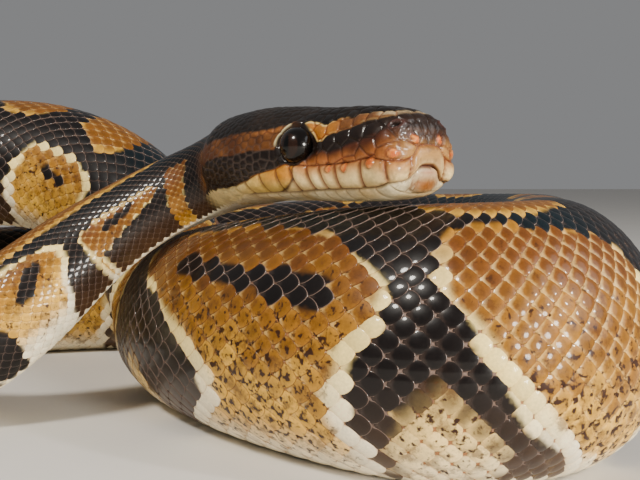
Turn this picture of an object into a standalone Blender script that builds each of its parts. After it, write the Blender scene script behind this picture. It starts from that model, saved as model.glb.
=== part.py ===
"""A coiled ball python at life size: one body laid along a route, from the snout to the tip of the tail.

The snake lies on the plane z = 0. Its head rests on the front coil, the forebody goes down to the
ground on the left, rises over the rear loop and comes round again as the front coil. All lengths
below are in millimetres, and MM turns them into metres. The origin is under the middle of the coil.
"""
import math

import bmesh
import bpy
import numpy as np

MM = 0.001
GAP = 0.3  # cut between two lengths of the body, and round each eye
COIL_CENTRE = (-56.96, 227.56)  # middle of the coil's footprint, in the axes of the route

# The head, along its own axis from the snout. Heights are above the underside of the jaw.
SNOUT = (18.2, 160.0)
HEAD_YAW = math.radians(-50.0)  # direction that the snout points in
HEAD_LIFT = 47.4  # underside of the jaw above the ground
HEAD_LENGTH = 50.0  # snout to the back of the skull
HEAD_AT = (0.0, 1.2, 3.6, 8.0, 14.0, 24.0, 33.0, 41.0, 48.0, 54.0, 62.0)
HEAD_HALF_WIDTH = (4.1, 7.2, 8.6, 8.9, 9.2, 10.3, 12.1, 13.2, 12.7, 10.6, 8.6)
HEAD_CROWN = (11.8, 14.5, 15.9, 16.9, 17.3, 17.7, 18.4, 18.8, 18.8, 18.0, 16.8)
HEAD_THROAT = (5.4, 2.6, 1.2, 0.6, 0.2, 0.0, 0.0, 0.0, 0.0, 0.0, 0.0)
HEAD_WIDEST = 0.42  # height of the widest line, as a share of the head's depth
SNOUT_SQUARE = 0.70  # exponent of the section at the snout, 1 for an ellipse and less for a box
NAPE_SQUARE = 0.86  # the same at the back of the skull
SNOUT_TAPER = 0.12  # how much narrower the head is at its top
NECK_BLEND = (49.0, 68.0)  # where the head's section turns into the body's

MOUTH_AT = (0.0, 2.0, 4.5, 12.0, 34.0, 43.0, 48.0)
MOUTH_HEIGHT = (6.6, 4.8, 3.5, 2.6, 2.3, 1.5, 0.9)
JAW_START = 0.9
JAW_END = 45.0

EYE_RADIUS = 3.45
EYE_AT = 24.0
EYE_OUT = 8.75
EYE_HEIGHT = 10.2

# The route behind the head: x, y and the height of the belly above the ground.
ROUTE = (
    (-27.0, 205.0, 42.8),  # neck
    (-38.0, 205.5, 36.4),
    (-48.0, 204.0, 27.0),
    (-58.0, 200.5, 14.5),
    (-70.0, 198.0, 3.0),  # forebody
    (-90.0, 197.5, 0.0),
    (-113.0, 202.0, 0.0),
    (-130.0, 218.0, 0.0),
    (-133.0, 240.0, 11.0),
    (-120.0, 260.0, 30.0),
    (-98.0, 270.0, 38.5),  # raised over the rear loop
    (-76.0, 269.0, 38.0),
    (-57.0, 261.0, 27.5),
    (-43.0, 249.0, 8.0),
    (-35.0, 235.0, 0.0),  # front coil
    (-25.0, 213.0, 0.0),
    (-11.0, 192.5, 0.0),
    (6.0, 175.5, 0.0),
    (19.0, 167.0, 0.0),
    (31.0, 165.8, 0.0),
    (41.2, 174.0, 0.0),
    (45.0, 188.0, 0.0),
    (49.0, 212.0, 0.0),  # rear loop
    (54.0, 238.0, 0.0),
    (49.0, 264.0, 0.0),
    (28.0, 284.0, 0.0),
    (-2.0, 291.0, 0.0),
    (-35.0, 291.0, 0.0),
    (-67.0, 289.0, 0.0),
    (-100.0, 281.0, 0.0),
    (-134.0, 280.0, 0.0),
    (-163.0, 265.0, 0.0),  # tail
    (-177.0, 236.0, 0.0),
    (-173.0, 204.0, 0.0),
    (-152.0, 178.0, 0.0),
    (-122.0, 166.0, 0.0),
    (-88.0, 165.0, 0.0),
)
SAMPLE_STEP = 0.4
BEND_WINDOW = 15  # samples over which the bend of the route is averaged
RAMP = 26.0  # length over which a change of slope is spread

# Half the body's height along its length, from the neck to the tip of the tail.
GIRTH_AT = (50.0, 66.0, 100.0, 135.0, 190.0, 260.0, 345.0, 375.0, 415.0, 445.0, 480.0,
            590.0, 700.0, 780.0, 840.0, 885.0, 920.0, 943.0, 959.0)
GIRTH = (8.3, 8.4, 11.4, 14.8, 17.2, 18.4, 18.6, 20.6, 23.2, 24.6, 25.0,
         24.3, 19.9, 17.0, 13.4, 8.6, 5.2, 2.8, 0.9)
WIDTH_TO_HEIGHT = 0.90
BELLY = 0.93  # belly line below the middle of the body, as a share of the half height
EGG = 0.12  # how much wider the body is low down than at its back
FOLD = 0.82  # most that the inner side may reach towards the centre of a bend

RING_STEP = 6.6  # distance between two rings of the body
RING_SIDES = 20
HEAD_RINGS = (0.0, 0.5, 1.2, 2.4, 4.2, 7.0, 10.5, 14.5, 19.0, 24.0, 29.0, 34.0, 38.5, 43.0, 47.0)
HEAD_SIDES = 28
MOUTH_POINTS = 7  # points of a head ring that lie on the flat of the mouth
BALL_SEGMENTS = 18
BALL_RINGS = 12

# Lengths of the body, each with the place where it starts.
LENGTHS = (("neck", HEAD_LENGTH), ("trunk_1", 118.0), ("trunk_2", 225.0), ("trunk_3", 350.0),
           ("trunk_4", 500.0), ("trunk_5", 630.0), ("trunk_6", 755.0), ("tail", 865.0))

COLOURS = {"dark": (0.035, 0.025, 0.020), "brown": (0.30, 0.14, 0.045), "cream": (0.62, 0.50, 0.32)}
ROUGHNESS = 0.45
SHARP_ANGLE = math.radians(50.0)


def clear_scene():
    for item in list(bpy.data.objects):
        bpy.data.objects.remove(item, do_unlink=True)


def monotone(at, values, where):
    """A smooth curve through the values that never swings past them."""
    at = np.asarray(at, float)
    values = np.asarray(values, float)
    step = np.diff(at)
    slope = np.diff(values) / step
    tangent = np.zeros_like(values)
    same_way = slope[:-1] * slope[1:] > 0
    weight_a = 2 * step[1:] + step[:-1]
    weight_b = step[1:] + 2 * step[:-1]
    safe_a = np.where(same_way, slope[:-1], 1.0)
    safe_b = np.where(same_way, slope[1:], 1.0)
    middle = (weight_a + weight_b) / (weight_a / safe_a + weight_b / safe_b)
    tangent[1:-1] = np.where(same_way, middle, 0.0)
    tangent[0] = slope[0]
    tangent[-1] = slope[-1]
    where = np.clip(where, at[0], at[-1])
    k = np.clip(np.searchsorted(at, where, side="right") - 1, 0, len(at) - 2)
    t = (where - at[k]) / step[k]
    ease = t * t * (3 - 2 * t)
    start = t * (1 - t) ** 2
    end = t * t * (t - 1)
    return values[k] + ease * (values[k + 1] - values[k]) + step[k] * (start * tangent[k] + end * tangent[k + 1])


def smooth_curve(points, knots, where, first_slope):
    """A cubic spline through the points with a given slope at its start, straight at its end."""
    count = len(knots)
    step = np.diff(knots)
    matrix = np.zeros((count, count))
    right = np.zeros((count, points.shape[1]))
    slope = np.diff(points, axis=0) / step[:, None]
    matrix[0, 0] = 2 * step[0]
    matrix[0, 1] = step[0]
    right[0] = 6 * (slope[0] - first_slope)
    matrix[-1, -1] = 1
    for i in range(1, count - 1):
        matrix[i, i - 1:i + 2] = (step[i - 1], 2 * (step[i - 1] + step[i]), step[i])
        right[i] = 6 * (slope[i] - slope[i - 1])
    bend = np.linalg.solve(matrix, right)
    k = np.clip(np.searchsorted(knots, where, side="right") - 1, 0, count - 2)
    width = step[k][:, None]
    before = (knots[k + 1] - where)[:, None]
    after = (where - knots[k])[:, None]
    curve = (bend[k] * before ** 3 + bend[k + 1] * after ** 3) / (6 * width)
    curve += (points[k] / width - bend[k] * width / 6) * before
    curve += (points[k + 1] / width - bend[k + 1] * width / 6) * after
    return curve


def ease_slopes(height):
    """Spreads each change of slope along the route, and leaves what lies flat as it is."""
    count = round(RAMP / SAMPLE_STEP)
    for _ in range(2):
        padded = np.pad(height, count // 2, mode="edge")
        height = np.convolve(padded, np.ones(count) / count, "valid")[:len(height)]
    return height


class Spine:
    """The belly line of the snake, with a frame and a size at each distance from the snout."""

    def __init__(self):
        axis = np.array((math.cos(HEAD_YAW), math.sin(HEAD_YAW)))
        snout = np.array(SNOUT)
        nape = snout - axis * HEAD_LENGTH
        plan = np.array([tuple(nape)] + [point[:2] for point in ROUTE])
        knots = np.concatenate(([0.0], np.cumsum(np.linalg.norm(np.diff(plan, axis=0), axis=1))))
        where = np.linspace(0, knots[-1], round(knots[-1] / SAMPLE_STEP))
        lifts = [HEAD_LIFT] + [point[2] for point in ROUTE]
        body = smooth_curve(plan, knots, where, -axis)
        height = monotone(knots, lifts, where)
        head_count = round(HEAD_LENGTH / SAMPLE_STEP)
        head = snout - axis * np.linspace(0, HEAD_LENGTH, head_count + 1)[:-1, None]
        line = np.vstack((head, body))
        height = ease_slopes(np.concatenate((np.full(head_count, HEAD_LIFT), height)))
        self.line = np.column_stack((line, height))
        self.line[:, :2] -= COIL_CENTRE
        self.at = np.concatenate(([0.0], np.cumsum(np.linalg.norm(np.diff(self.line, axis=0), axis=1))))
        self.length = self.at[-1]
        tangent = np.gradient(self.line, self.at, axis=0)
        for _ in range(2):
            tangent[1:-1] = (tangent[:-2] + tangent[1:-1] * 2 + tangent[2:]) / 4
        self.tangent = tangent / np.linalg.norm(tangent, axis=1)[:, None]
        up = np.array((0.0, 0.0, 1.0)) - self.tangent * self.tangent[:, 2:3]
        self.up = up / np.linalg.norm(up, axis=1)[:, None]
        self.side = np.cross(self.tangent, self.up)
        turn = np.gradient(self.tangent, self.at, axis=0)
        bend = (turn * self.side).sum(axis=1)
        self.bend = np.convolve(bend, np.ones(BEND_WINDOW) / BEND_WINDOW, "same")

    def read(self, values, at):
        return np.array([np.interp(at, self.at, values[:, i]) for i in range(3)])

    def ring(self, at, outline):
        """Points round the body at one distance from the snout, for an outline in its own plane."""
        across, height = outline
        bend = float(np.interp(at, self.at, self.bend))
        if at > HEAD_LENGTH and abs(bend) > 1e-5:
            room = FOLD / abs(bend)
            reach = np.abs(across).max()
            inner = np.sign(across) == np.sign(bend)
            across = np.where(inner, across * min(1.0, room / reach), across)
        origin = self.read(self.line, at)
        side = self.read(self.side, at)
        up = self.read(self.up, at)
        return (origin + across[:, None] * side + height[:, None] * up) * MM


def body_section(at, angles):
    half_height = float(monotone(GIRTH_AT, GIRTH, np.array([at]))[0])
    half_width = half_height * WIDTH_TO_HEIGHT
    across = half_width * np.sin(angles) * (1 - EGG * np.cos(angles))
    height = half_height * (BELLY + np.maximum(np.cos(angles), -BELLY))
    return across, height


def head_value(values, at):
    return float(monotone(HEAD_AT, values, np.array([at]))[0])


def head_section(at, angles):
    half_width = head_value(HEAD_HALF_WIDTH, at)
    crown = head_value(HEAD_CROWN, at)
    throat = head_value(HEAD_THROAT, at)
    widest = throat + HEAD_WIDEST * (crown - throat)
    sine = np.sin(angles)
    cosine = np.cos(angles)
    square = SNOUT_SQUARE + (NAPE_SQUARE - SNOUT_SQUARE) * min(1.0, at / HEAD_LENGTH)
    across = half_width * np.sign(sine) * np.abs(sine) ** square
    across = across * (1 - SNOUT_TAPER * np.maximum(cosine, 0))
    rise = np.abs(cosine) ** square
    height = np.where(cosine > 0, widest + (crown - widest) * rise, widest - (widest - throat) * rise)
    return across, height


def section(at, angles):
    if at <= NECK_BLEND[0]:
        return head_section(at, angles)
    if at >= NECK_BLEND[1]:
        return body_section(at, angles)
    t = (at - NECK_BLEND[0]) / (NECK_BLEND[1] - NECK_BLEND[0])
    t = t * t * (3 - 2 * t)
    head = head_section(at, angles)
    body = body_section(at, angles)
    return head[0] * (1 - t) + body[0] * t, head[1] * (1 - t) + body[1] * t


def add_material(item, colour):
    material = bpy.data.materials.new(item.name)
    material.use_nodes = True
    shader = material.node_tree.nodes["Principled BSDF"]
    shader.inputs["Base Color"].default_value = (*colour, 1.0)
    shader.inputs["Roughness"].default_value = ROUGHNESS
    shader.inputs["Metallic"].default_value = 0.0
    item.data.materials.append(material)


def add_loft(name, rings, colour):
    """A closed, smooth body through a row of rings that all have the same number of points."""
    work = bmesh.new()
    rows = [[work.verts.new(point) for point in ring] for ring in rings]
    sides = len(rows[0])
    for near, far in zip(rows, rows[1:]):
        for i in range(sides):
            j = (i + 1) % sides
            work.faces.new((near[i], near[j], far[j], far[i]))
    for row in (rows[0], rows[-1]):
        centre = work.verts.new(sum((vert.co for vert in row), row[0].co * 0) / sides)
        for i in range(sides):
            work.faces.new((row[i], row[(i + 1) % sides], centre))
    bmesh.ops.triangulate(work, faces=work.faces[:])
    bmesh.ops.recalc_face_normals(work, faces=work.faces[:])
    mesh = bpy.data.meshes.new(name)
    work.to_mesh(mesh)
    work.free()
    mesh.shade_smooth()
    mesh.set_sharp_from_angle(angle=SHARP_ANGLE)
    item = bpy.data.objects.new(name, mesh)
    bpy.context.collection.objects.link(item)
    add_material(item, colour)
    return item


def ring_angles(sides):
    return np.linspace(0, 2 * math.pi, sides, endpoint=False)


def mouth_angle(at, level):
    """The angle from the crown at which the head's outline is at the given height."""
    angles = np.radians(np.arange(90.0, 180.5, 0.5))
    heights = section(at, angles)[1]
    return float(np.interp(-level, -heights, angles))


def mouth_level(at):
    return float(monotone(MOUTH_AT, MOUTH_HEIGHT, np.array([at]))[0])


def split_ring(spine, at, upper):
    """The part of a head ring above or below the mouth, closed by a flat at the mouth."""
    level = mouth_level(at) + (GAP / 2 if upper else -GAP / 2)
    limit = mouth_angle(at, level)
    outer_count = HEAD_SIDES - MOUTH_POINTS
    if upper:
        angles = np.linspace(-limit, limit, outer_count)
    else:
        angles = np.linspace(limit, 2 * math.pi - limit, outer_count)
    across, height = section(at, angles)
    inward = np.linspace(across[-1], across[0], MOUTH_POINTS + 2)[1:-1]
    across = np.concatenate((across, inward))
    height = np.concatenate((height, np.full(MOUTH_POINTS, level)))
    return spine.ring(at, (across, height))


def make_head(spine):
    rings = [split_ring(spine, at, True) for at in HEAD_RINGS]
    last = HEAD_LENGTH - GAP / 2
    rings.append(split_ring(spine, last, True))
    head = add_loft("head", rings, COLOURS["brown"])
    for side, name in ((1, "left"), (-1, "right")):
        centre = eye_centre(spine, side)
        socket = add_ball("socket_" + name, centre, EYE_RADIUS + GAP)
        socket.hide_render = True
        socket.display_type = "WIRE"
        cut = head.modifiers.new("socket_" + name, "BOOLEAN")
        cut.operation = "DIFFERENCE"
        cut.object = socket
        eye = add_ball("eye_" + name, centre, EYE_RADIUS)
        add_material(eye, COLOURS["dark"])


def make_jaw(spine):
    places = [at for at in HEAD_RINGS if JAW_START < at < JAW_END]
    rings = [split_ring(spine, at, False) for at in [JAW_START] + places + [JAW_END]]
    add_loft("jaw", rings, COLOURS["cream"])


def eye_centre(spine, side):
    origin = spine.read(spine.line, EYE_AT)
    across = spine.read(spine.side, EYE_AT)
    centre = origin + across * EYE_OUT * side
    centre[2] += EYE_HEIGHT
    return centre * MM


def add_ball(name, centre, radius):
    work = bmesh.new()
    bmesh.ops.create_uvsphere(work, u_segments=BALL_SEGMENTS, v_segments=BALL_RINGS, radius=radius * MM)
    mesh = bpy.data.meshes.new(name)
    work.to_mesh(mesh)
    work.free()
    mesh.shade_smooth()
    ball = bpy.data.objects.new(name, mesh)
    ball.location = centre
    bpy.context.collection.objects.link(ball)
    return ball


def make_lengths(spine):
    """The body behind the head, cut into its named lengths."""
    ends = [start for _, start in LENGTHS[1:]] + [spine.length]
    angles = ring_angles(RING_SIDES)
    for (name, start), end in zip(LENGTHS, ends):
        first = start + GAP / 2
        last = end - GAP / 2
        count = max(2, round((last - first) / RING_STEP))
        places = np.linspace(first, last, count + 1)
        rings = [spine.ring(at, section(at, angles)) for at in places]
        add_loft(name, rings, COLOURS["brown"])


def main():
    clear_scene()
    spine = Spine()
    make_head(spine)
    make_jaw(spine)
    make_lengths(spine)


main()
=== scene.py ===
"""The looks of the coiled ball python: one skin, its scales, its eyes, the light and the camera.

The skin is drawn over the same route and sections as the solids, a coat's depth inside them, and each
scale is a small closed dome laid on it. Lengths are in millimetres until a mesh is made.
"""
import itertools
import math
from types import SimpleNamespace

import bpy
import numpy as np
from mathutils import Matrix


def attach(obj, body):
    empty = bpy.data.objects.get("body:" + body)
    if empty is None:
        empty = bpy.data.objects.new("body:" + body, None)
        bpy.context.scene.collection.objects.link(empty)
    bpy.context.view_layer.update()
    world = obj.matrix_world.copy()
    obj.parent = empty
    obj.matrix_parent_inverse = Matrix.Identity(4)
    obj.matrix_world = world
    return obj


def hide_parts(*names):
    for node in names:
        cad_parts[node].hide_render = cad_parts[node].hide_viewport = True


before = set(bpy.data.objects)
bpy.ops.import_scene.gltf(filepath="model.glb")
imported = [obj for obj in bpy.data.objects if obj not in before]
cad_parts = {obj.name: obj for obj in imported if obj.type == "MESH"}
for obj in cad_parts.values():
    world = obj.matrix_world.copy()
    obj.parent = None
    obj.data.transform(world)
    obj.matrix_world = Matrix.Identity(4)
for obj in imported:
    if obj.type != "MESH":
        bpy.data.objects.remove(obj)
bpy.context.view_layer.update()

MM = 0.001
COIL_CENTRE = (-56.96, 227.56)  # middle of the coil's footprint, in the axes of the route

# The body of the snake, with the same values as its solids.
SNOUT = (18.2, 160.0)
HEAD_YAW = math.radians(-50.0)
HEAD_LIFT = 47.4
HEAD_LENGTH = 50.0
HEAD_AT = (0.0, 1.2, 3.6, 8.0, 14.0, 24.0, 33.0, 41.0, 48.0, 54.0, 62.0)
HEAD_HALF_WIDTH = (4.1, 7.2, 8.6, 8.9, 9.2, 10.3, 12.1, 13.2, 12.7, 10.6, 8.6)
HEAD_CROWN = (11.8, 14.5, 15.9, 16.9, 17.3, 17.7, 18.4, 18.8, 18.8, 18.0, 16.8)
HEAD_THROAT = (5.4, 2.6, 1.2, 0.6, 0.2, 0.0, 0.0, 0.0, 0.0, 0.0, 0.0)
HEAD_WIDEST = 0.42
SNOUT_SQUARE = 0.70
NAPE_SQUARE = 0.86
SNOUT_TAPER = 0.12
NECK_BLEND = (49.0, 68.0)
EYE_RADIUS = 3.45
EYE_AT = 24.0
EYE_OUT = 8.75
EYE_HEIGHT = 10.2
ROUTE = (
    (-27.0, 205.0, 42.8), (-38.0, 205.5, 36.4), (-48.0, 204.0, 27.0), (-58.0, 200.5, 14.5),
    (-70.0, 198.0, 3.0), (-90.0, 197.5, 0.0), (-113.0, 202.0, 0.0), (-130.0, 218.0, 0.0),
    (-133.0, 240.0, 11.0), (-120.0, 260.0, 30.0), (-98.0, 270.0, 38.5), (-76.0, 269.0, 38.0),
    (-57.0, 261.0, 27.5), (-43.0, 249.0, 8.0), (-35.0, 235.0, 0.0), (-25.0, 213.0, 0.0),
    (-11.0, 192.5, 0.0), (6.0, 175.5, 0.0), (19.0, 167.0, 0.0), (31.0, 165.8, 0.0),
    (41.2, 174.0, 0.0), (45.0, 188.0, 0.0), (49.0, 212.0, 0.0), (54.0, 238.0, 0.0),
    (49.0, 264.0, 0.0), (28.0, 284.0, 0.0), (-2.0, 291.0, 0.0), (-35.0, 291.0, 0.0),
    (-67.0, 289.0, 0.0), (-100.0, 281.0, 0.0), (-134.0, 280.0, 0.0), (-163.0, 265.0, 0.0),
    (-177.0, 236.0, 0.0), (-173.0, 204.0, 0.0), (-152.0, 178.0, 0.0), (-122.0, 166.0, 0.0),
    (-88.0, 165.0, 0.0),
)
SAMPLE_STEP = 0.4
BEND_WINDOW = 15
RAMP = 26.0
GIRTH_AT = (50.0, 66.0, 100.0, 135.0, 190.0, 260.0, 345.0, 375.0, 415.0, 445.0, 480.0,
            590.0, 700.0, 780.0, 840.0, 885.0, 920.0, 943.0, 959.0)
GIRTH = (8.3, 8.4, 11.4, 14.8, 17.2, 18.4, 18.6, 20.6, 23.2, 24.6, 25.0,
         24.3, 19.9, 17.0, 13.4, 8.6, 5.2, 2.8, 0.9)
WIDTH_TO_HEIGHT = 0.90
BELLY = 0.93
EGG = 0.12
FOLD = 0.82
FULL_GIRTH = 25.0
HALF_ROUND = 2.982  # half the way round a section, against its girth
FINE_ROWS = 70.0  # how far from the snout the rows of the surface lie closer together
SURFACE_ANGLES = 241
SHARE_ROW = -300  # the row of the surface whose outline turns shares of the way round into angles
UP = np.array((0.0, 0.0, 1.0))

# The scales.
PITCH_AT = (0.0, 360.0, 410.0, 425.0, 440.0, 452.0, 460.0, 475.0, 510.0)
PITCH = (5.2, 5.4, 6.9, 6.5, 5.8, 5.2, 4.4, 4.6, 5.2)  # length of a scale along the body, at full girth
PITCH_POWER = 0.85  # how the length follows the girth
BELLY_EDGE = 0.885  # where the wide belly scales start, from the back to the middle of the belly
ROW_GROWTH = 0.10  # how much wider the lowest rows are
LATTICE_STEP = 0.25
SHORTEST_PITCH = 0.9
ROW_ZONES = ((46.5, 27), (800.0, 21), (860.0, 16), (905.0, 11), (935.0, 8))  # start, rows a side
TAIL_END = 957.5
SCUTE_PITCH = 1.0  # length of a belly scale against a scale of the back
FINE_ZONE = (350.0, 500.0)
FINE_EDGE = -0.08
PIECE_TRIANGLES = 190000
COAT = (0.12, 0.48)  # depth of the skin inside the solids, at no girth and what full girth adds
BELLY_COAT = 0.65  # share of that depth under the belly
HEAD_COAT = 0.25
BELLY_COAT_ZONE = (0.74, 0.90)  # where it sets in, as shares of the way round
OUTER_DEPTH = 0.65  # more depth outside a tight bend, where the solids run flat between their rings
OUTER_ZONE = (1.35, 2.1)  # how far such a bend stretches the skin where that depth sets in and is full
PLUMP_ZONE = (1.35, 1.95)  # the same for scales that stand up apart from each other
NAPE = (52.0, 58.0)  # where the colours of the head turn into those of the neck
SCALE_SPREAD = 0.0015  # half the size of one scale on the OFBake map
NOISE_ROUND = 60.0  # millimetres that the noise takes for half the way round
LIGHTNESS = np.array((0.3, 0.6, 0.1))  # what red, green and blue say about how light a tone is
WHITENESS = np.array((0.2, 0.4, 0.4))  # the same with more blue, which parts white from yellow
SEED = 7


# --- curves and colours ---

def monotone(at, values, where):
    """A smooth curve through the values that never swings past them."""
    at = np.asarray(at, float)
    values = np.asarray(values, float)
    where = np.clip(np.asarray(where, float), at[0], at[-1])
    step = np.diff(at)
    slope = np.diff(values) / step
    tangent = np.zeros_like(values)
    same_way = slope[:-1] * slope[1:] > 0
    weight_a = 2 * step[1:] + step[:-1]
    weight_b = step[1:] + 2 * step[:-1]
    safe_a = np.where(same_way, slope[:-1], 1.0)
    safe_b = np.where(same_way, slope[1:], 1.0)
    middle = (weight_a + weight_b) / (weight_a / safe_a + weight_b / safe_b)
    tangent[1:-1] = np.where(same_way, middle, 0.0)
    tangent[0] = slope[0]
    tangent[-1] = slope[-1]
    k = np.clip(np.searchsorted(at, where, side="right") - 1, 0, len(at) - 2)
    t = (where - at[k]) / step[k]
    ease = t * t * (3 - 2 * t)
    start = t * (1 - t) ** 2
    end = t * t * (t - 1)
    bow = step[k] * (start * tangent[k] + end * tangent[k + 1])
    return values[k] + ease * (values[k + 1] - values[k]) + bow


def running(steps):
    """The running total of the steps, from 0."""
    return np.concatenate(([0.0], np.cumsum(steps)))


def lengths(points):
    """The distance along a line of points from its first to each of them."""
    return running(np.linalg.norm(np.diff(points, axis=0), axis=1))


def smooth_curve(points, knots, where, first_slope):
    """A cubic spline through the points with a given slope at its start, straight at its end."""
    count = len(knots)
    step = np.diff(knots)
    matrix = np.zeros((count, count))
    right = np.zeros((count, points.shape[1]))
    slope = np.diff(points, axis=0) / step[:, None]
    matrix[0, 0] = 2 * step[0]
    matrix[0, 1] = step[0]
    right[0] = 6 * (slope[0] - first_slope)
    matrix[-1, -1] = 1
    for i in range(1, count - 1):
        matrix[i, i - 1:i + 2] = (step[i - 1], 2 * (step[i - 1] + step[i]), step[i])
        right[i] = 6 * (slope[i] - slope[i - 1])
    bend = np.linalg.solve(matrix, right)
    k = np.clip(np.searchsorted(knots, where, side="right") - 1, 0, count - 2)
    width = step[k][:, None]
    before = (knots[k + 1] - where)[:, None]
    after = (where - knots[k])[:, None]
    curve = (bend[k] * before ** 3 + bend[k + 1] * after ** 3) / (6 * width)
    curve += (points[k] / width - bend[k] * width / 6) * before
    curve += (points[k + 1] / width - bend[k + 1] * width / 6) * after
    return curve


def ramp(value, low, high):
    """0 below low, 1 above high and smooth between them."""
    t = np.clip((np.asarray(value, float) - low) / (high - low), 0.0, 1.0)
    return t * t * (3 - 2 * t)


def mix(first, second, share):
    return first + (second - first) * np.asarray(share)[..., None]


def layered(tone, *layers):
    """A tone under others, each given with the share of it that shows."""
    for upper, share in layers:
        tone = mix(tone, upper, share)
    return tone


def hump(value, width, power=2):
    """1 where the value is 0, and falling off smoothly on both sides."""
    return np.exp(-(value / width) ** power)


def paint(red, green, blue):
    """A colour given as it looks on a screen, from 0 to 255, as the light that it sends back."""
    share = np.array((red, green, blue)) / 255.0
    return np.where(share <= 0.04045, share / 12.92, ((share + 0.055) / 1.055) ** 2.4)


def grain(points, size, seed):
    """Smooth random values from -1 to 1 in space, with lumps of about the given size."""
    place = np.asarray(points, float) / size
    cell = np.floor(place)
    part = place - cell
    part = part * part * (3 - 2 * part)
    cell = cell.astype(np.int64)
    total = np.zeros(place.shape[:-1])
    for corner in itertools.product((0, 1), repeat=3):
        key = seed * 374761393
        for axis, prime in enumerate((73856093, 19349663, 83492791)):
            key = key ^ ((cell[..., axis] + corner[axis]) * prime)
        key = (key ^ (key >> 13)) * 1274126177
        value = ((key ^ (key >> 16)) & 65535) / 32767.5 - 1.0
        weight = np.ones(place.shape[:-1])
        for axis in range(3):
            weight = weight * (part[..., axis] if corner[axis] else 1 - part[..., axis])
        total += weight * value
    return total


# --- the form of the body ---

def ease_slopes(height):
    """Spreads each change of slope along the route, and leaves what lies flat as it is."""
    count = round(RAMP / SAMPLE_STEP)
    for _ in range(2):
        padded = np.pad(height, count // 2, mode="edge")
        height = np.convolve(padded, np.ones(count) / count, "valid")[:len(height)]
    return height


class Spine:
    """The belly line of the snake, with a frame and a bend at each distance from the snout."""

    def __init__(self):
        axis = np.array((math.cos(HEAD_YAW), math.sin(HEAD_YAW)))
        snout = np.array(SNOUT)
        nape = snout - axis * HEAD_LENGTH
        plan = np.array([tuple(nape)] + [point[:2] for point in ROUTE])
        knots = lengths(plan)
        where = np.linspace(0, knots[-1], round(knots[-1] / SAMPLE_STEP))
        lifts = [HEAD_LIFT] + [point[2] for point in ROUTE]
        body = smooth_curve(plan, knots, where, -axis)
        height = monotone(knots, lifts, where)
        head_count = round(HEAD_LENGTH / SAMPLE_STEP)
        head = snout - axis * np.linspace(0, HEAD_LENGTH, head_count + 1)[:-1, None]
        height = ease_slopes(np.concatenate((np.full(head_count, HEAD_LIFT), height)))
        self.line = np.column_stack((np.vstack((head, body)), height))
        self.line[:, :2] -= COIL_CENTRE
        self.at = lengths(self.line)
        self.length = self.at[-1]
        tangent = np.gradient(self.line, self.at, axis=0)
        for _ in range(2):
            tangent[1:-1] = (tangent[:-2] + tangent[1:-1] * 2 + tangent[2:]) / 4
        self.tangent = tangent / np.linalg.norm(tangent, axis=1)[:, None]
        up = UP - self.tangent * self.tangent[:, 2:3]
        self.up = up / np.linalg.norm(up, axis=1)[:, None]
        self.side = np.cross(self.tangent, self.up)
        turn = np.gradient(self.tangent, self.at, axis=0)
        bend = (turn * self.side).sum(axis=1)
        self.bend = np.convolve(bend, np.ones(BEND_WINDOW) / BEND_WINDOW, "same")

    def read(self, values, at):
        return np.stack([np.interp(at, self.at, values[:, i]) for i in range(3)], axis=-1)


def girth(at):
    return monotone(GIRTH_AT, GIRTH, at)


def body_section(at, angle):
    half_height = girth(at)
    half_width = half_height * WIDTH_TO_HEIGHT
    across = half_width * np.sin(angle) * (1 - EGG * np.cos(angle))
    height = half_height * (BELLY + np.maximum(np.cos(angle), -BELLY))
    return across, height


def head_section(at, angle):
    half_width = monotone(HEAD_AT, HEAD_HALF_WIDTH, at)
    crown = monotone(HEAD_AT, HEAD_CROWN, at)
    throat = monotone(HEAD_AT, HEAD_THROAT, at)
    widest = throat + HEAD_WIDEST * (crown - throat)
    sine = np.sin(angle)
    cosine = np.cos(angle)
    square = SNOUT_SQUARE + (NAPE_SQUARE - SNOUT_SQUARE) * np.minimum(1.0, at / HEAD_LENGTH)
    across = half_width * np.sign(sine) * np.abs(sine) ** square
    across = across * (1 - SNOUT_TAPER * np.maximum(cosine, 0))
    rise = np.abs(cosine) ** square
    height = np.where(cosine > 0, widest + (crown - widest) * rise, widest - (widest - throat) * rise)
    return across, height


def section(at, angle):
    """Across and up from the belly line to the surface, at each distance and angle from the back."""
    share = ramp(at, *NECK_BLEND)
    head = head_section(at, angle)
    body = body_section(at, angle)
    return head[0] * (1 - share) + body[0] * share, head[1] * (1 - share) + body[1] * share


def coat_depth(at, share):
    """How deep the skin lies inside the surface of the solids, which is the room that the scales have."""
    depth = COAT[0] + COAT[1] * (girth(at) / FULL_GIRTH) ** PITCH_POWER
    return depth * (1 - (1 - BELLY_COAT) * ramp(np.abs(share), *BELLY_COAT_ZONE))


def unit(vectors):
    return vectors / np.maximum(np.linalg.norm(vectors, axis=-1, keepdims=True), 1e-12)


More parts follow.
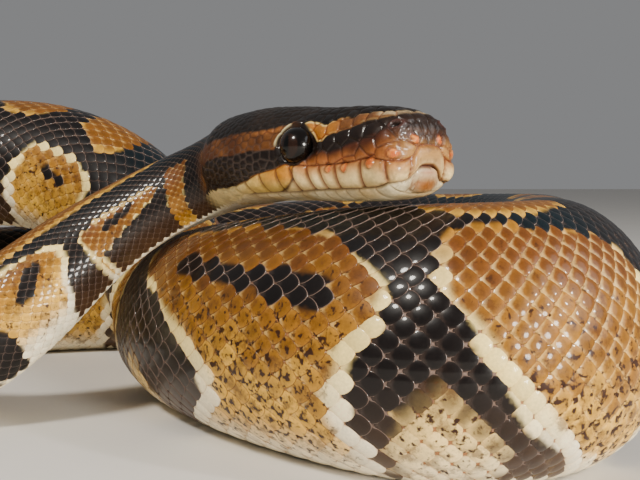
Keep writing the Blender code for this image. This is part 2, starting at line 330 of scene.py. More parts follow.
class Surface:
    """The outer surface of the solids as a fine grid, read at any distance and angle."""

    def __init__(self, spine):
        self.spine = spine
        self.at = np.concatenate((np.arange(0, FINE_ROWS, 0.5), np.arange(FINE_ROWS, spine.length, 1.0),
                                  [spine.length]))
        self.angle = np.linspace(-math.pi, math.pi, SURFACE_ANGLES)
        at = self.at[:, None]
        across, height = section(at, self.angle[None, :])
        bend = np.interp(self.at, spine.at, spine.bend)[:, None]
        room = FOLD / np.maximum(np.abs(bend), 1e-5)
        reach = np.abs(across).max(axis=1, keepdims=True)
        inner = (np.sign(across) == np.sign(bend)) & (at > HEAD_LENGTH)
        across = np.where(inner, across * np.minimum(1.0, room / reach), across)
        origin = spine.read(spine.line, self.at)[:, None]
        side = spine.read(spine.side, self.at)[:, None]
        up = spine.read(spine.up, self.at)[:, None]
        self.point = origin + across[..., None] * side + height[..., None] * up
        along = np.gradient(self.point, self.at, axis=0)
        round_it = np.gradient(self.point, self.angle, axis=1)
        round_it[:, 0] = round_it[:, -1] = (round_it[:, 0] + round_it[:, -1]) / 2
        self.normal = unit(np.cross(round_it, along))
        self.stretch = np.linalg.norm(along, axis=-1)
        self.share = lengths(self.point[SHARE_ROW])
        self.share = self.share / self.share[-1] * 2 - 1

    def sample(self, values, at, angle):
        row = np.interp(at, self.at, np.arange(len(self.at)))
        column = (angle + math.pi) / (2 * math.pi) * (len(self.angle) - 1)
        i = np.clip(row.astype(int), 0, len(self.at) - 2)
        j = np.clip(column.astype(int), 0, len(self.angle) - 2)
        a = row - i
        b = column - j
        if values.ndim == 3:
            a = a[..., None]
            b = b[..., None]
        near = values[i, j] * (1 - b) + values[i, j + 1] * b
        far = values[i + 1, j] * (1 - b) + values[i + 1, j + 1] * b
        return near * (1 - a) + far * a

    def angle_of(self, share):
        """The angle at a share of the way round: 0 at the back, 1 or -1 at the middle of the belly."""
        return np.interp(share, self.share, self.angle)

    def place(self, at, share, rise):
        """Points on the skin, or above it by rise, at a distance and a share of the way round."""
        angle = self.angle_of(share)
        normal = unit(self.sample(self.normal, at, angle))
        bend = OUTER_DEPTH * ramp(self.sample(self.stretch, at, angle), *OUTER_ZONE)
        return self.sample(self.point, at, angle) + normal * (rise - coat_depth(at, share) - bend)[..., None]


class Lattice:
    """Where each scale sits: columns along the body and rows round it."""

    def __init__(self, spine):
        self.at = np.arange(HEAD_LENGTH - 4, spine.length, LATTICE_STEP)
        half = girth(self.at)
        bend = np.abs(np.interp(self.at, spine.at, spine.bend))
        self.pitch = monotone(PITCH_AT, PITCH, self.at) * (half / FULL_GIRTH) ** PITCH_POWER
        self.pitch = np.maximum(self.pitch / (1 + WIDTH_TO_HEIGHT * half * bend), SHORTEST_PITCH)
        self.column = running(np.diff(self.at) / self.pitch[1:])

    def at_column(self, column):
        return np.interp(column, self.column, self.at)

    def column_at(self, at):
        return np.interp(at, self.at, self.column)

    def pitch_at(self, at):
        return np.interp(at, self.at, self.pitch)


def row_share(row, rows):
    """The share of the way round of a row, and how much one row covers there."""
    place = np.abs(row) / (rows + 0.5)
    scale = BELLY_EDGE / (1 + ROW_GROWTH)
    share = scale * (place + ROW_GROWTH * place ** 4) * np.sign(row)
    width = scale * (1 + 4 * ROW_GROWTH * place ** 3) / (rows + 0.5)
    return share, width


# --- the markings ---

BLACK = paint(15, 10, 9)
# the blue of a painted iridescent sheen on the black of the back
SHEEN_BLUE_BLACK = paint(10, 24, 30)
BLACK_LOW = paint(82, 58, 40)
BROWN = paint(102, 58, 18)
OCHRE = paint(152, 102, 26)
YELLOW = paint(238, 184, 70)
CREAM = paint(242, 216, 138)
WHITE = paint(250, 238, 206)
OLIVE = paint(96, 72, 36)
NOOK = paint(236, 196, 122)  # the front corners of the pale scales
SEAM_DARK = paint(118, 98, 88)
SEAM_LIGHT = paint(164, 112, 70)
SEAM_WHITE = paint(200, 160, 128)
# the dark line at the rear rim of brown scales: partly their own edge, partly painted shade under the free
# rim
EDGE_AND_SHADE_LINE = paint(70, 34, 14)


class Blotch:
    """A light patch on one flank. Its two ends are curves of places at shares of the way round."""

    def __init__(self, side, top, front, back, bars, tones=0.0, rims=(0.78, 0.78)):
        self.side = side
        self.top = top
        self.front = np.array(front, float).T
        self.back = np.array(back, float).T
        self.bars = bars
        self.tones = tones
        self.rims = rims  # how wide the pale rim is at the two ends
        self.first = self.front[1].min() - 6.0
        self.last = self.back[1].max() + 6.0

    def edge(self, here):
        """Distance inside the patch's edge, in millimetres, below 0 outside, and the width of its rim."""
        behind = here.at - monotone(*self.front, here.level)
        before = monotone(*self.back, here.level) - here.at
        along = np.minimum(behind, before) * here.stretch
        rim = np.where(behind < before, *self.rims)
        return np.minimum(along, (here.level - self.top) * here.half_round), rim

    def bar(self, here):
        """Distance inside the nearest dark bar, in millimetres, below 0 outside."""
        best = np.full(here.at.shape, -1e3)
        scale = np.stack((here.stretch, here.half_round), axis=-1)
        for start, end, width in self.bars:
            offset = np.stack((here.at - start[0], here.level - start[1]), axis=-1) * scale
            line = np.subtract(end, start) * scale
            t = np.clip((offset * line).sum(-1) / np.maximum((line ** 2).sum(-1), 1e-9), 0, 1)
            best = np.maximum(best, width - np.linalg.norm(offset - line * t[..., None], axis=-1))
        return best

    def look(self, here):
        """What the patch shows, as Markings.read lays it."""
        low = here.level + self.tones
        inside, rim_width = self.edge(here)
        inside = inside + here.wobble * 0.5
        share = ramp(inside, -0.25, 0.25)
        lumps = 0.10 * grain(here.point, 4.0, 16)
        rim = np.maximum((1.1 + 2.9 * ramp(low, 0.14, 0.56)) * here.size * rim_width, 1e-3)
        rim_share = ramp(inside, rim * 1.22, rim * 0.82)
        rim_tone = layered(OCHRE, (CREAM, ramp(low, 0.10, 0.30)), (WHITE, ramp(low, 0.46, 0.70)))
        dark = ramp(self.bar(here) + here.wobble * 0.4, -0.2, 0.2)
        tone = layered(BROWN, (OCHRE, ramp(low + lumps, 0.16, 0.50)),
                       (YELLOW, ramp(low + lumps, 0.42, 0.74)), (WHITE, ramp(low, 0.66, 0.82)),
                       (rim_tone, rim_share * 0.95), (BLACK, dark))
        seam = layered(SEAM_LIGHT, (SEAM_WHITE, ramp(low, 0.5, 0.7)), (SEAM_DARK, dark * 0.7),
                       (paint(168, 128, 92), rim_share * 0.8))
        flecks = (0.10 + 0.90 * ramp(low, 0.26, 0.50)) * ramp(low, 0.84, 0.70)
        reach = 0.35 + 0.65 * ramp(here.at, 340.0, 375.0) * ramp(here.at, 500.0, 480.0)
        flecks = flecks * (1 - rim_share) * (1 - dark) * reach
        return share, tone, share, seam, 1 - share, flecks * share


LEFT_PATCHES = (
    Blotch(1, 0.34, ((0.34, 292.0), (0.45, 288.0), (0.60, 286.0), (0.82, 288.0)),
           ((0.34, 303.0), (0.42, 309.0), (0.60, 310.0), (0.82, 307.0)),
           (((297.0, 0.46), (301.0, 0.48), 1.5),)),
    Blotch(1, 0.16, ((0.16, 344.0), (0.30, 337.0), (0.60, 336.0), (0.80, 340.0)),
           ((0.16, 356.0), (0.30, 366.0), (0.45, 370.0), (0.60, 368.0), (0.80, 360.0)),
           (((352.0, 0.30), (358.0, 0.33), 1.6),)),
    Blotch(1, 0.115, ((0.11, 396.0), (0.13, 380.0), (0.24, 381.5), (0.32, 387.5), (0.37, 394.5),
                      (0.44, 401.0), (0.54, 410.0), (0.62, 413.5), (0.67, 412.0),
                      (0.72, 408.0), (0.80, 404.0)),
           ((0.11, 414.0), (0.13, 421.0), (0.15, 430.0), (0.172, 435.5), (0.22, 442.0), (0.26, 445.0),
            (0.345, 448.5), (0.38, 448.0), (0.50, 445.0), (0.60, 444.0), (0.70, 445.5), (0.80, 446.5)),
           (((402.0, 0.262), (428.0, 0.318), 2.2), ((428.0, 0.322), (439.0, 0.337), 3.3)), rims=(1.5, 1.0)),
    # This patch's tones of -0.05 make it a little browner and darker: painted shade.
    Blotch(1, 0.138, ((0.13, 459.0), (0.14, 456.0), (0.156, 453.5), (0.20, 452.5), (0.316, 452.5),
                      (0.384, 454.5), (0.464, 456.5), (0.55, 458.0), (0.624, 459.5), (0.676, 461.0),
                      (0.756, 463.5), (0.82, 465.5)),
           ((0.13, 459.5), (0.15, 461.5), (0.16, 464.0), (0.18, 467.5), (0.216, 471.5), (0.264, 473.0),
            (0.40, 474.5), (0.60, 475.5), (0.82, 474.5)), (), -0.05, (1.3, 1.0)),
)
RIGHT_PATCHES = (
    Blotch(-1, 0.28, ((0.28, 60.0), (0.45, 61.5), (0.62, 63.0)),
           ((0.28, 65.0), (0.45, 66.0), (0.62, 67.0)), (), -0.2, (0.0, 0.0)),
    Blotch(-1, 0.35, ((0.34, 68.5), (0.40, 67.5), (0.47, 70.5), (0.52, 74.5), (0.56, 79.0), (0.61, 84.0)),
           ((0.34, 80.0), (0.37, 84.0), (0.42, 86.0), (0.61, 86.5)), (((74.0, 0.41), (80.0, 0.45), 0.9),),
           -0.16, (0.6, 0.9)),
    Blotch(-1, 0.21, ((0.21, 100.0), (0.24, 96.0), (0.28, 91.5), (0.36, 89.0), (0.47, 90.4), (0.55, 92.8),
                      (0.68, 95.8), (0.87, 98.2)),
           ((0.21, 112.0), (0.30, 117.0), (0.55, 119.0), (0.87, 117.0)),
           (((96.5, 0.345), (102.0, 0.43), 1.5), ((112.0, 0.60), (114.0, 0.80), 3.4)), 0.08, (1.0, 1.0)),
)
HAND_ZONES = {1: ((282.0, 316.0), (330.0, 484.0)), -1: ((50.0, 124.0),)}
LOW_ZONE = (395.0, 490.0)  # where the right flank's blotches start lower, behind the dark ridge
FORKS = (  # olive patches between the two arms of a black saddle: side, middle and reach at the bottom
    (1, 453.0, 4.6),
    (1, 384.0, 6.5),
)
BACK_PATCHES = ((447.5, 472.0, 0.100), (66.0, 112.0, 0.165), (281.0, 293.5, 0.19), (298.0, 309.0, 0.24),
                (392.0, 428.0, 0.045))
BLOTCH_LEVELS = (0.13, 0.17, 0.26, 0.42, 0.60, 0.82)
BLOTCH_SHAPE = (0.30, 0.72, 0.95, 1.0, 0.84, 0.62)
BLOTCH_PERIOD = 9.6
BLOTCH_REACH = 3.6


def outside(first, last, zones):
    return all(last < low or first > high for low, high in zones)


def lay_out_markings(lattice):
    """The patches of the whole body: those listed, and a loop for the rest of each flank."""
    rng = np.random.default_rng(SEED)
    patches = list(LEFT_PATCHES) + list(RIGHT_PATCHES)
    forks = list(FORKS)
    backs = list(BACK_PATCHES)
    last = lattice.column_at(TAIL_END - 8)
    for side in (1, -1):
        column = 5.0 + 2.5 * side
        while column < last:
            reach = BLOTCH_REACH * rng.uniform(0.82, 1.1)
            at = lattice.at_column(column)
            ends = lattice.at_column(np.array((column - reach, column + reach)))
            levels = np.array(BLOTCH_LEVELS)
            levels[:2] += rng.uniform(-0.02, 0.05)
            shapes = np.array(BLOTCH_SHAPE) * rng.uniform(0.9, 1.08, (2, len(levels)))
            bar_count = rng.integers(1, 3)
            places = rng.uniform(0.05, 0.45, 2) * (1, -1)
            level = rng.uniform(0.27, 0.40)
            if side < 0 and LOW_ZONE[0] < at < LOW_ZONE[1]:
                levels[:2] += 0.10
            if outside(ends[0], ends[1], HAND_ZONES[side]):
                front = lattice.at_column(column - reach * shapes[0])
                back = lattice.at_column(column + reach * shapes[1])
                bars = []
                for place in places[:bar_count]:
                    middle = column + reach * place
                    where = lattice.at_column(np.array((middle - 0.4, middle + 0.5)))
                    size = 0.7 * lattice.pitch_at(at)
                    bars.append(((where[0], level), (where[1], level + 0.02), size))
                patches.append(Blotch(side, levels[0], np.stack((levels, front), 1),
                                      np.stack((levels, back), 1), bars))
            gap = lattice.at_column(column + BLOTCH_PERIOD / 2 + rng.uniform(-0.5, 0.5))
            if outside(gap, gap, HAND_ZONES[side]):
                forks.append((side, gap, 1.3 * lattice.pitch_at(at)))
            column += BLOTCH_PERIOD * rng.uniform(0.9, 1.1)
    column = 8.0
    while column < last:
        reach = rng.uniform(1.6, 3.4)
        ends = lattice.at_column(np.array((column - reach, column + reach)))
        if all(ends[1] < low - 4 or ends[0] > high + 4 for low, high, _ in BACK_PATCHES):
            backs.append((ends[0], ends[1], rng.uniform(0.07, 0.10)))
        column += rng.uniform(7.5, 11.0)
    return patches, forks, backs


def back_look(zone, here):
    """What a patch on the back shows, as Markings.read lays it."""
    first, last, reach = zone
    middle = (first + last) / 2
    along = (here.at - middle) / (last - first) * 2
    width = reach * np.clip(1 - along ** 2, 0, 1) ** 0.3 * here.half_round
    inside = width - here.level * here.half_round + here.wobble * 0.6
    share = ramp(inside, -0.3, 0.3) * (np.abs(along) < 1)
    tone = layered(mix(BROWN, OCHRE, 0.25), (YELLOW, ramp(inside, 1.6, 0.2) * 0.6))
    return share, tone, share * 0.6, SEAM_LIGHT, 1, 0


def fork_look(zone, here):
    """What the patch between the arms of a saddle shows, as Markings.read lays it."""
    _, middle, reach = zone
    opening = reach * ramp(here.level, 0.50, 0.70)
    mottle = grain(here.point, 1.6, 14)
    inside = (opening - np.abs(here.at - middle)) * here.stretch + mottle * 2.6
    share = ramp(inside, -2.2, 2.2) * ramp(here.level + mottle * 0.02, 0.49, 0.60)
    tone = layered(OLIVE, (paint(246, 210, 132), ramp(here.level + mottle * 0.05, 0.53, 0.68)),
                   (WHITE, ramp(here.level, 0.64, 0.82) * 0.7),
                   (BLACK_LOW, ramp(grain(here.point, 0.9, 15), 0.15, 0.7) * 0.55))
    return share, tone, share, SEAM_LIGHT, 1, share * (0.35 + 0.5 * ramp(here.level, 0.74, 0.60))


class Markings:
    """The colours of the body at a distance from the snout and a share of the way round."""

    def __init__(self, surface, lattice):
        self.surface = surface
        self.patches, self.forks, self.backs = lay_out_markings(lattice)

    def nearby(self, at, level, side):
        """Each marking with the points that may lie in it, from the lowest layer to the highest."""
        for zone in self.backs:
            first, last, reach = zone
            yield back_look, zone, (at > first - 4) & (at < last + 4) & (level < reach + 0.06)
        for zone in self.forks:
            which, middle, reach = zone
            yield fork_look, zone, (side == which) & (np.abs(at - middle) < reach * 2) & (level > 0.45)
        for patch in self.patches:
            near = (side == patch.side) & (at > patch.first) & (at < patch.last)
            yield Blotch.look, patch, near & (level > patch.top - 0.05)

    def read(self, at, share, point):
        """Colour of a scale, how flecked it is, and colour of the skin between the scales."""
        half = girth(at)
        half_round = HALF_ROUND * half
        stretch = self.surface.sample(self.surface.stretch, at, self.surface.angle_of(share))
        size = half / FULL_GIRTH
        wobble = grain(point, 6.0, 3) * size
        level = np.abs(share)
        known = {"at": at, "level": level, "point": point, "stretch": stretch, "half_round": half_round,
                 "size": size, "wobble": wobble}
        colour = np.broadcast_to(BLACK, at.shape + (3,)).copy()
        # painted sheen: a blue tint laid on the black of the back stands for the blue iridescent sheen of its
        # scales
        painted_sheen = ramp(level, 0.30, 0.10) * ramp(grain(point, 25.0, 11), -0.6, 0.5)
        colour = layered(colour, (SHEEN_BLUE_BLACK, painted_sheen * 0.8),
                         (BLACK_LOW, ramp(level, 0.52, 0.84) * (0.75 + 0.25 * grain(point, 5.0, 12))))
        seam = np.broadcast_to(SEAM_DARK, colour.shape).copy()
        fleck = np.zeros(at.shape)
        for look, marking, near in self.nearby(at, level, np.where(share >= 0, 1, -1)):
            if near.any():
                here = SimpleNamespace(**{name: values[near] for name, values in known.items()})
                share_in, tone, seam_share, seam_tone, kept, flecks = look(marking, here)
                colour[near] = mix(colour[near], tone, share_in)
                seam[near] = mix(seam[near], seam_tone, seam_share)
                fleck[near] = np.maximum(fleck[near] * kept, flecks)
        belly = ramp(level + wobble / half_round * 0.8, BELLY_EDGE - 0.055, BELLY_EDGE - 0.03)
        colour = mix(colour, WHITE, belly)
        seam = mix(seam, SEAM_WHITE, belly)
        return colour, fleck * (1 - belly), seam


# --- meshes ---

def make_mesh(name, points, faces, colour, marks, spread):
    """A smooth mesh with its markings as colour attributes and its own OFBake map."""
    mesh = bpy.data.meshes.new(name)
    sizes = np.array([block.shape[1] for block in faces])
    corners = np.concatenate([block.reshape(-1) for block in faces])
    totals = np.concatenate([np.full(len(block), size) for block, size in zip(faces, sizes)])
    mesh.vertices.add(len(points))
    mesh.vertices.foreach_set("co", (points * MM).astype(np.float32).reshape(-1))
    mesh.loops.add(len(corners))
    mesh.loops.foreach_set("vertex_index", corners.astype(np.int32))
    mesh.polygons.add(len(totals))
    mesh.polygons.foreach_set("loop_start", running(totals)[:-1].astype(np.int32))
    mesh.polygons.foreach_set("loop_total", totals.astype(np.int32))
    mesh.update(calc_edges=True)
    for title, values in (("tint", colour), ("marks", marks)):
        layer = mesh.color_attributes.new(title, "FLOAT_COLOR", "POINT")
        flat = np.ones((len(points), 4), np.float32)
        flat[:, :3] = values
        layer.data.foreach_set("color", flat.reshape(-1))
    layer = mesh.uv_layers.new(name="OFBake")
    places = spread[corners] if len(spread) == len(points) else spread
    layer.data.foreach_set("uv", places.astype(np.float32).reshape(-1))
    mesh.shade_smooth()
    item = bpy.data.objects.new(name, mesh)
    bpy.context.collection.objects.link(item)
    return item


def finish_piece(item, material):
    item.data.materials.append(material)
    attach(item, "root")


# --- scales ---

COARSE_ANGLES = (0, 28, 60, 90, 135, 180, 225, 270, 300, 332)
FINE_ANGLES = (0, 14, 30, 48, 68, 90, 118, 148, 180, 212, 242, 270, 292, 312, 330, 346)
COARSE_RINGS = (0.60, 0.93, 1.0)
FINE_RINGS = (0.42, 0.74, 0.93, 1.0)
FLAT_POWERS = (1.55, 1.25)  # outline of a flat scale at its tip and its root: 1 diamond, 2 ellipse
PLUMP_POWERS = (2.0, 1.9)  # the same where the skin is stretched
FLAT_FILL = (0.98, 0.965)  # how much of its cell a scale fills, along and across
PLUMP_FILL = (0.95, 0.91)
PALE_FILL = (0.97, 0.95)  # the same for pale scales
LOOK_INSIDE = 0.32  # how near its middle a scale reads its colour, so that it takes mostly one tone


class Template:
    """One scale in its own axes: x from root to tip and y across, each from -1 to 1."""

    def __init__(self, angles, rings):
        count = len(angles)
        turn = np.radians(np.array(angles, float))
        x = np.cos(turn)
        y = np.sin(turn)
        self.shapes = []
        for tip, root in (FLAT_POWERS, PLUMP_POWERS):
            power = np.where(x > 0, tip, root)
            size = (np.abs(x) ** power + np.abs(y) ** power) ** (-1 / power)
            outline = np.stack((x * size, y * size), axis=-1)
            flat = [np.zeros((1, 2))] + [outline * ring for ring in rings] + [outline * 1.01]
            self.shapes.append(np.concatenate(flat))
        self.ring = np.concatenate(([0.0], np.repeat(rings, count), [1.0] * count))
        self.below = np.concatenate((np.zeros(1 + count * len(rings)), np.ones(count)))
        step = np.arange(count)
        after = (step + 1) % count
        self.fan = np.stack((np.zeros(count, int), 1 + step, 1 + after), axis=-1)
        quads = []
        for near in 1 + np.arange(len(rings)) * count:
            far = near + count
            quads.append(np.stack((near + step, far + step, far + after, near + after), axis=-1))
        self.quads = np.concatenate(quads)
        last = 1 + len(rings) * count
        self.base = (last + step[::-1])[None, :]
        self.triangles = count + 2 * len(self.quads) + count - 2


def scale_places(lattice):
    """The middle, cell size and row of every scale between the head and the tip of the tail."""
    found = []
    ends = [start for start, _ in ROW_ZONES[1:]] + [TAIL_END]
    for (start, rows), end in zip(ROW_ZONES, ends):
        first = math.ceil(lattice.column_at(start)) - (start > ROW_ZONES[0][0])
        last = math.floor(lattice.column_at(end))
        for row in range(-rows, rows + 1):
            columns = np.arange(first, last) + 0.5 * (row % 2)
            share, width = row_share(row, rows)
            at = lattice.at_column(columns)
            found.append(np.stack(np.broadcast_arrays(at, share, lattice.pitch_at(at), width), -1))
    return np.concatenate(found)


def repeat_faces(blocks, count, step):
    """The faces of one scale repeated for each of many, whose points lie a step further on."""
    shift = (np.arange(count) * step)[:, None, None]
    return [(block[None] + shift).reshape(-1, block.shape[1]) for block in blocks]


def build_scales(name, template, places, surface, markings, material):
    """One joined mesh of the given scales."""
    rng = np.random.default_rng(SEED + len(places))
    at0, share0, pitch, width = places.T
    count = len(places)
    grid = np.stack((at0, share0 * NOISE_ROUND, np.zeros(count)), -1)
    at0 = at0 + pitch * 0.08 * grain(grid, 9.0, 21)
    share0 = share0 + width * 0.20 * grain(grid, 11.0, 22)
    stretch = surface.sample(surface.stretch, at0, surface.angle_of(share0))
    plump = ramp(stretch, *PLUMP_ZONE)[:, None]
    x, y = (template.shapes[0].T[:, None] * (1 - plump) + template.shapes[1].T[:, None] * plump)
    size = rng.uniform(0.95, 1.03, (count, 1)) - 0.05 * plump * rng.uniform(0, 1, (count, 1))
    centre = surface.place(at0, share0, np.zeros(count))[:, None]
    base, _, _ = markings.read(at0, share0, centre[:, 0])
    base_pale = ramp(base @ LIGHTNESS, 0.03, 0.14)[:, None]
    base_white = ramp(base @ WHITENESS, 0.30, 0.55)[:, None]
    fill = []
    for flat, round_one, pale_one in zip(FLAT_FILL, PLUMP_FILL, PALE_FILL):
        stretched = round_one + (pale_one - round_one) * base_pale - 0.05 * base_white
        fill.append(flat * (1 - plump) + stretched * plump)
    at = at0[:, None] + x * pitch[:, None] * 0.5 * fill[0] * size
    skew = rng.normal(0, 0.03, (count, 1)) * x
    share = share0[:, None] + (y + skew) * width[:, None] * fill[1] * size
    edge = BELLY_EDGE + 0.012
    share = np.clip(share, -edge, edge)
    room = coat_depth(at0, share0)[:, None]
    ring = template.ring
    dome = room * (0.17 + 0.26 * plump + 0.20 * base_white) * rng.uniform(0.85, 1.15, (count, 1))
    lift = room * (0.46 - 0.24 * plump)
    top = dome * (1 - ring ** 2.3) + lift * (0.12 + 0.44 * (x + 1)) + 0.03 * room
    rise = np.where(template.below > 0, -0.5 * room, top)
    points = surface.place(at, share, rise)
    at_look, share_look, point_look = (
        middle + (place - middle) * LOOK_INSIDE
        for middle, place in ((at0[:, None], at), (share0[:, None], share), (centre, points)))
    colour, fleck, seam = markings.read(at_look, share_look, point_look)
    if at0.min() < NAPE[1]:
        across, height = section(at_look, surface.angle_of(share_look))
        colour = mix(head_tint(at_look, across, height), colour, ramp(at_look, *NAPE))
    pale = ramp(colour @ LIGHTNESS, 0.02, 0.08)
    white = ramp(colour @ WHITENESS, 0.30, 0.55)
    colour = colour * rng.normal(1.0, 0.08, (count, 1, 1))
    disc = np.hypot((x - 0.16) / 0.86, y / 0.92)
    colour = colour * (1 - 0.26 * ramp(disc, 0.85, 0.25) * pale * (1 - white))[..., None]
    root = ramp(disc, 0.84 - 0.06 * pale, 1.06 - 0.10 * pale) * ramp(x, 0.15, -0.25)
    colour = mix(colour, mix(SEAM_DARK * 0.5, NOOK, pale), root * (0.35 + 0.17 * pale) * (1 - 0.6 * white))
    # The rear rim: on dark scales the pale colour of the skin between them, on white ones a pinkish-brown
    # seam, and on brown ones a dark line that is partly the scale's own edge and partly painted shade under
    # its free rim.
    rim = ramp(ring, 0.92, 1.0) * ramp(x, -0.35, 0.05) * (1 - 0.40 * white)
    rim_tone = mix(mix(SEAM_DARK, EDGE_AND_SHADE_LINE, pale), paint(176, 128, 92), white)
    colour = mix(colour, rim_tone, rim * (0.85 - 0.15 * pale))
    colour = np.where((template.below > 0)[:, None], seam * 0.7, colour)
    nook = np.maximum(ramp(x, 0.3, -0.7), ramp(disc, 0.50, 0.15)) * pale
    marks = np.stack((fleck * (0.45 + 0.60 * nook), root * 0.7 + 0.5 * plump * (1 - pale), pale), -1)
    faces = repeat_faces((template.fan, template.quads, template.base), count, len(ring))
    low, high = at0.min(), at0.max() + 1
    root_place = np.stack(((at0 - low) / (high - low) * 0.98 + 0.01, share0 / 2 + 0.5), -1)
    spread = root_place[:, None] + template.shapes[0] * SCALE_SPREAD
    item = make_mesh(name, points.reshape(-1, 3), faces, colour.reshape(-1, 3), marks.reshape(-1, 3),
                     spread.reshape(-1, 2))
    finish_piece(item, material)


def make_scales(surface, lattice, markings, material):
    places = scale_places(lattice)
    at, share = places[:, 0], places[:, 1]
    fine = (at > FINE_ZONE[0]) & (at < FINE_ZONE[1]) & (share > FINE_EDGE)
    for title, chosen, template in (("scales_front", fine, Template(FINE_ANGLES, FINE_RINGS)),
                                    ("scales", ~fine, Template(COARSE_ANGLES, COARSE_RINGS))):
        group = places[chosen]
        group = group[np.argsort(group[:, 0], kind="stable")]
        parts = math.ceil(len(group) * template.triangles / PIECE_TRIANGLES)
        for number, part in enumerate(np.array_split(group, parts), 1):
            build_scales(f"{title}_{number}", template, part, surface, markings, material)


def make_scutes(surface, lattice, material):
    """The wide scales of the belly, each a closed plate that lies over the one behind it."""
    columns = np.arange(lattice.column_at(ROW_ZONES[0][0]), lattice.column_at(TAIL_END), SCUTE_PITCH)
    at0 = lattice.at_column(columns)
    length = lattice.pitch_at(at0) * SCUTE_PITCH
    count = len(at0)
    across = np.linspace(-1, 1, 19)
    along = np.array((-0.62, -0.45, -0.1, 0.25, 0.47, 0.5))
    x, y = np.meshgrid(along, across, indexing="ij")
    reach = 1 - BELLY_EDGE + 0.012
    wrap = 1 - np.abs(y) * reach
    bow = 0.10 * y ** 2
    size = (girth(at0) / FULL_GIRTH)[:, None, None] ** PITCH_POWER
    thick = 0.26 * size
    rise_top = thick * (0.15 + 0.85 * ramp(x, -0.62, 0.45)) * (1 - 0.5 * np.abs(y) ** 6)
    rise_low = np.full(rise_top.shape, -0.15) * size
    at = at0[:, None, None] + (x - bow) * length[:, None, None]
    share = np.broadcast_to(np.where(y >= 0, wrap, -wrap), at.shape)
    points = np.stack([surface.place(at, share, rise) for rise in (rise_top, rise_low)], axis=1)
    top, low = np.arange(2 * x.size).reshape(2, *x.shape)
    pairs = (
        ((top[:-1, :-1], top[:-1, 1:], top[1:, 1:], top[1:, :-1]),  # the top and the underside
         (low[:-1, :-1], low[1:, :-1], low[1:, 1:], low[:-1, 1:])),
        ((top[:-1, 0], top[1:, 0], low[1:, 0], low[:-1, 0]),  # the two sides
         (low[:-1, -1], low[1:, -1], top[1:, -1], top[:-1, -1])),
        ((low[0, :-1], low[0, 1:], top[0, 1:], top[0, :-1]),  # the root and the tip
         (top[-1, :-1], top[-1, 1:], low[-1, 1:], low[-1, :-1])),
    )
    quads = [np.stack([np.stack(part, -1) for part in pair], -2).reshape(-1, 4) for pair in pairs]
    faces = repeat_faces([np.concatenate(quads)[:, ::-1]], count, 2 * x.size)
    flat = points.reshape(-1, 3)
    tone = mix(WHITE, paint(206, 190, 170), ramp(grain(flat, 14.0, 31), 0.0, 0.9) * 0.5)
    marks = np.zeros_like(flat)
    marks[:, 2] = 1.0
    along_map = (at0 / surface.spine.length)[:, None, None, None] + x * SCALE_SPREAD
    across_map = 0.5 + y * SCALE_SPREAD
    spread = np.stack(np.broadcast_arrays(along_map, across_map, points[..., 0])[:2], -1)
    item = make_mesh("scutes", flat, faces, tone, marks, spread.reshape(-1, 2))
    finish_piece(item, material)


# --- the skin ---

HEAD_END = 54.0
HEAD_COLUMNS = 480
HEAD_STEP = 0.2
CAP_ROWS = 16
BODY_STEP = 1.6
BODY_COLUMNS = 120
SKIN_SHORT = 0.4  # how far before the tip of the tail the last ring of the skin lies


def outline_lengths(at, angles):
    """Distances along the outline of a section of the head, from the first of the angles."""
    across, height = section(at, angles)
    return running(np.hypot(np.diff(across), np.diff(height)))


def even_angles(at, count):
    """Angles round a section of the head that are evenly spaced along its outline."""
    fine = np.linspace(-math.pi, math.pi, 721)
    arc = outline_lengths(at, fine)
    return np.interp(np.linspace(0, arc[-1], count + 1)[:-1], arc, fine)


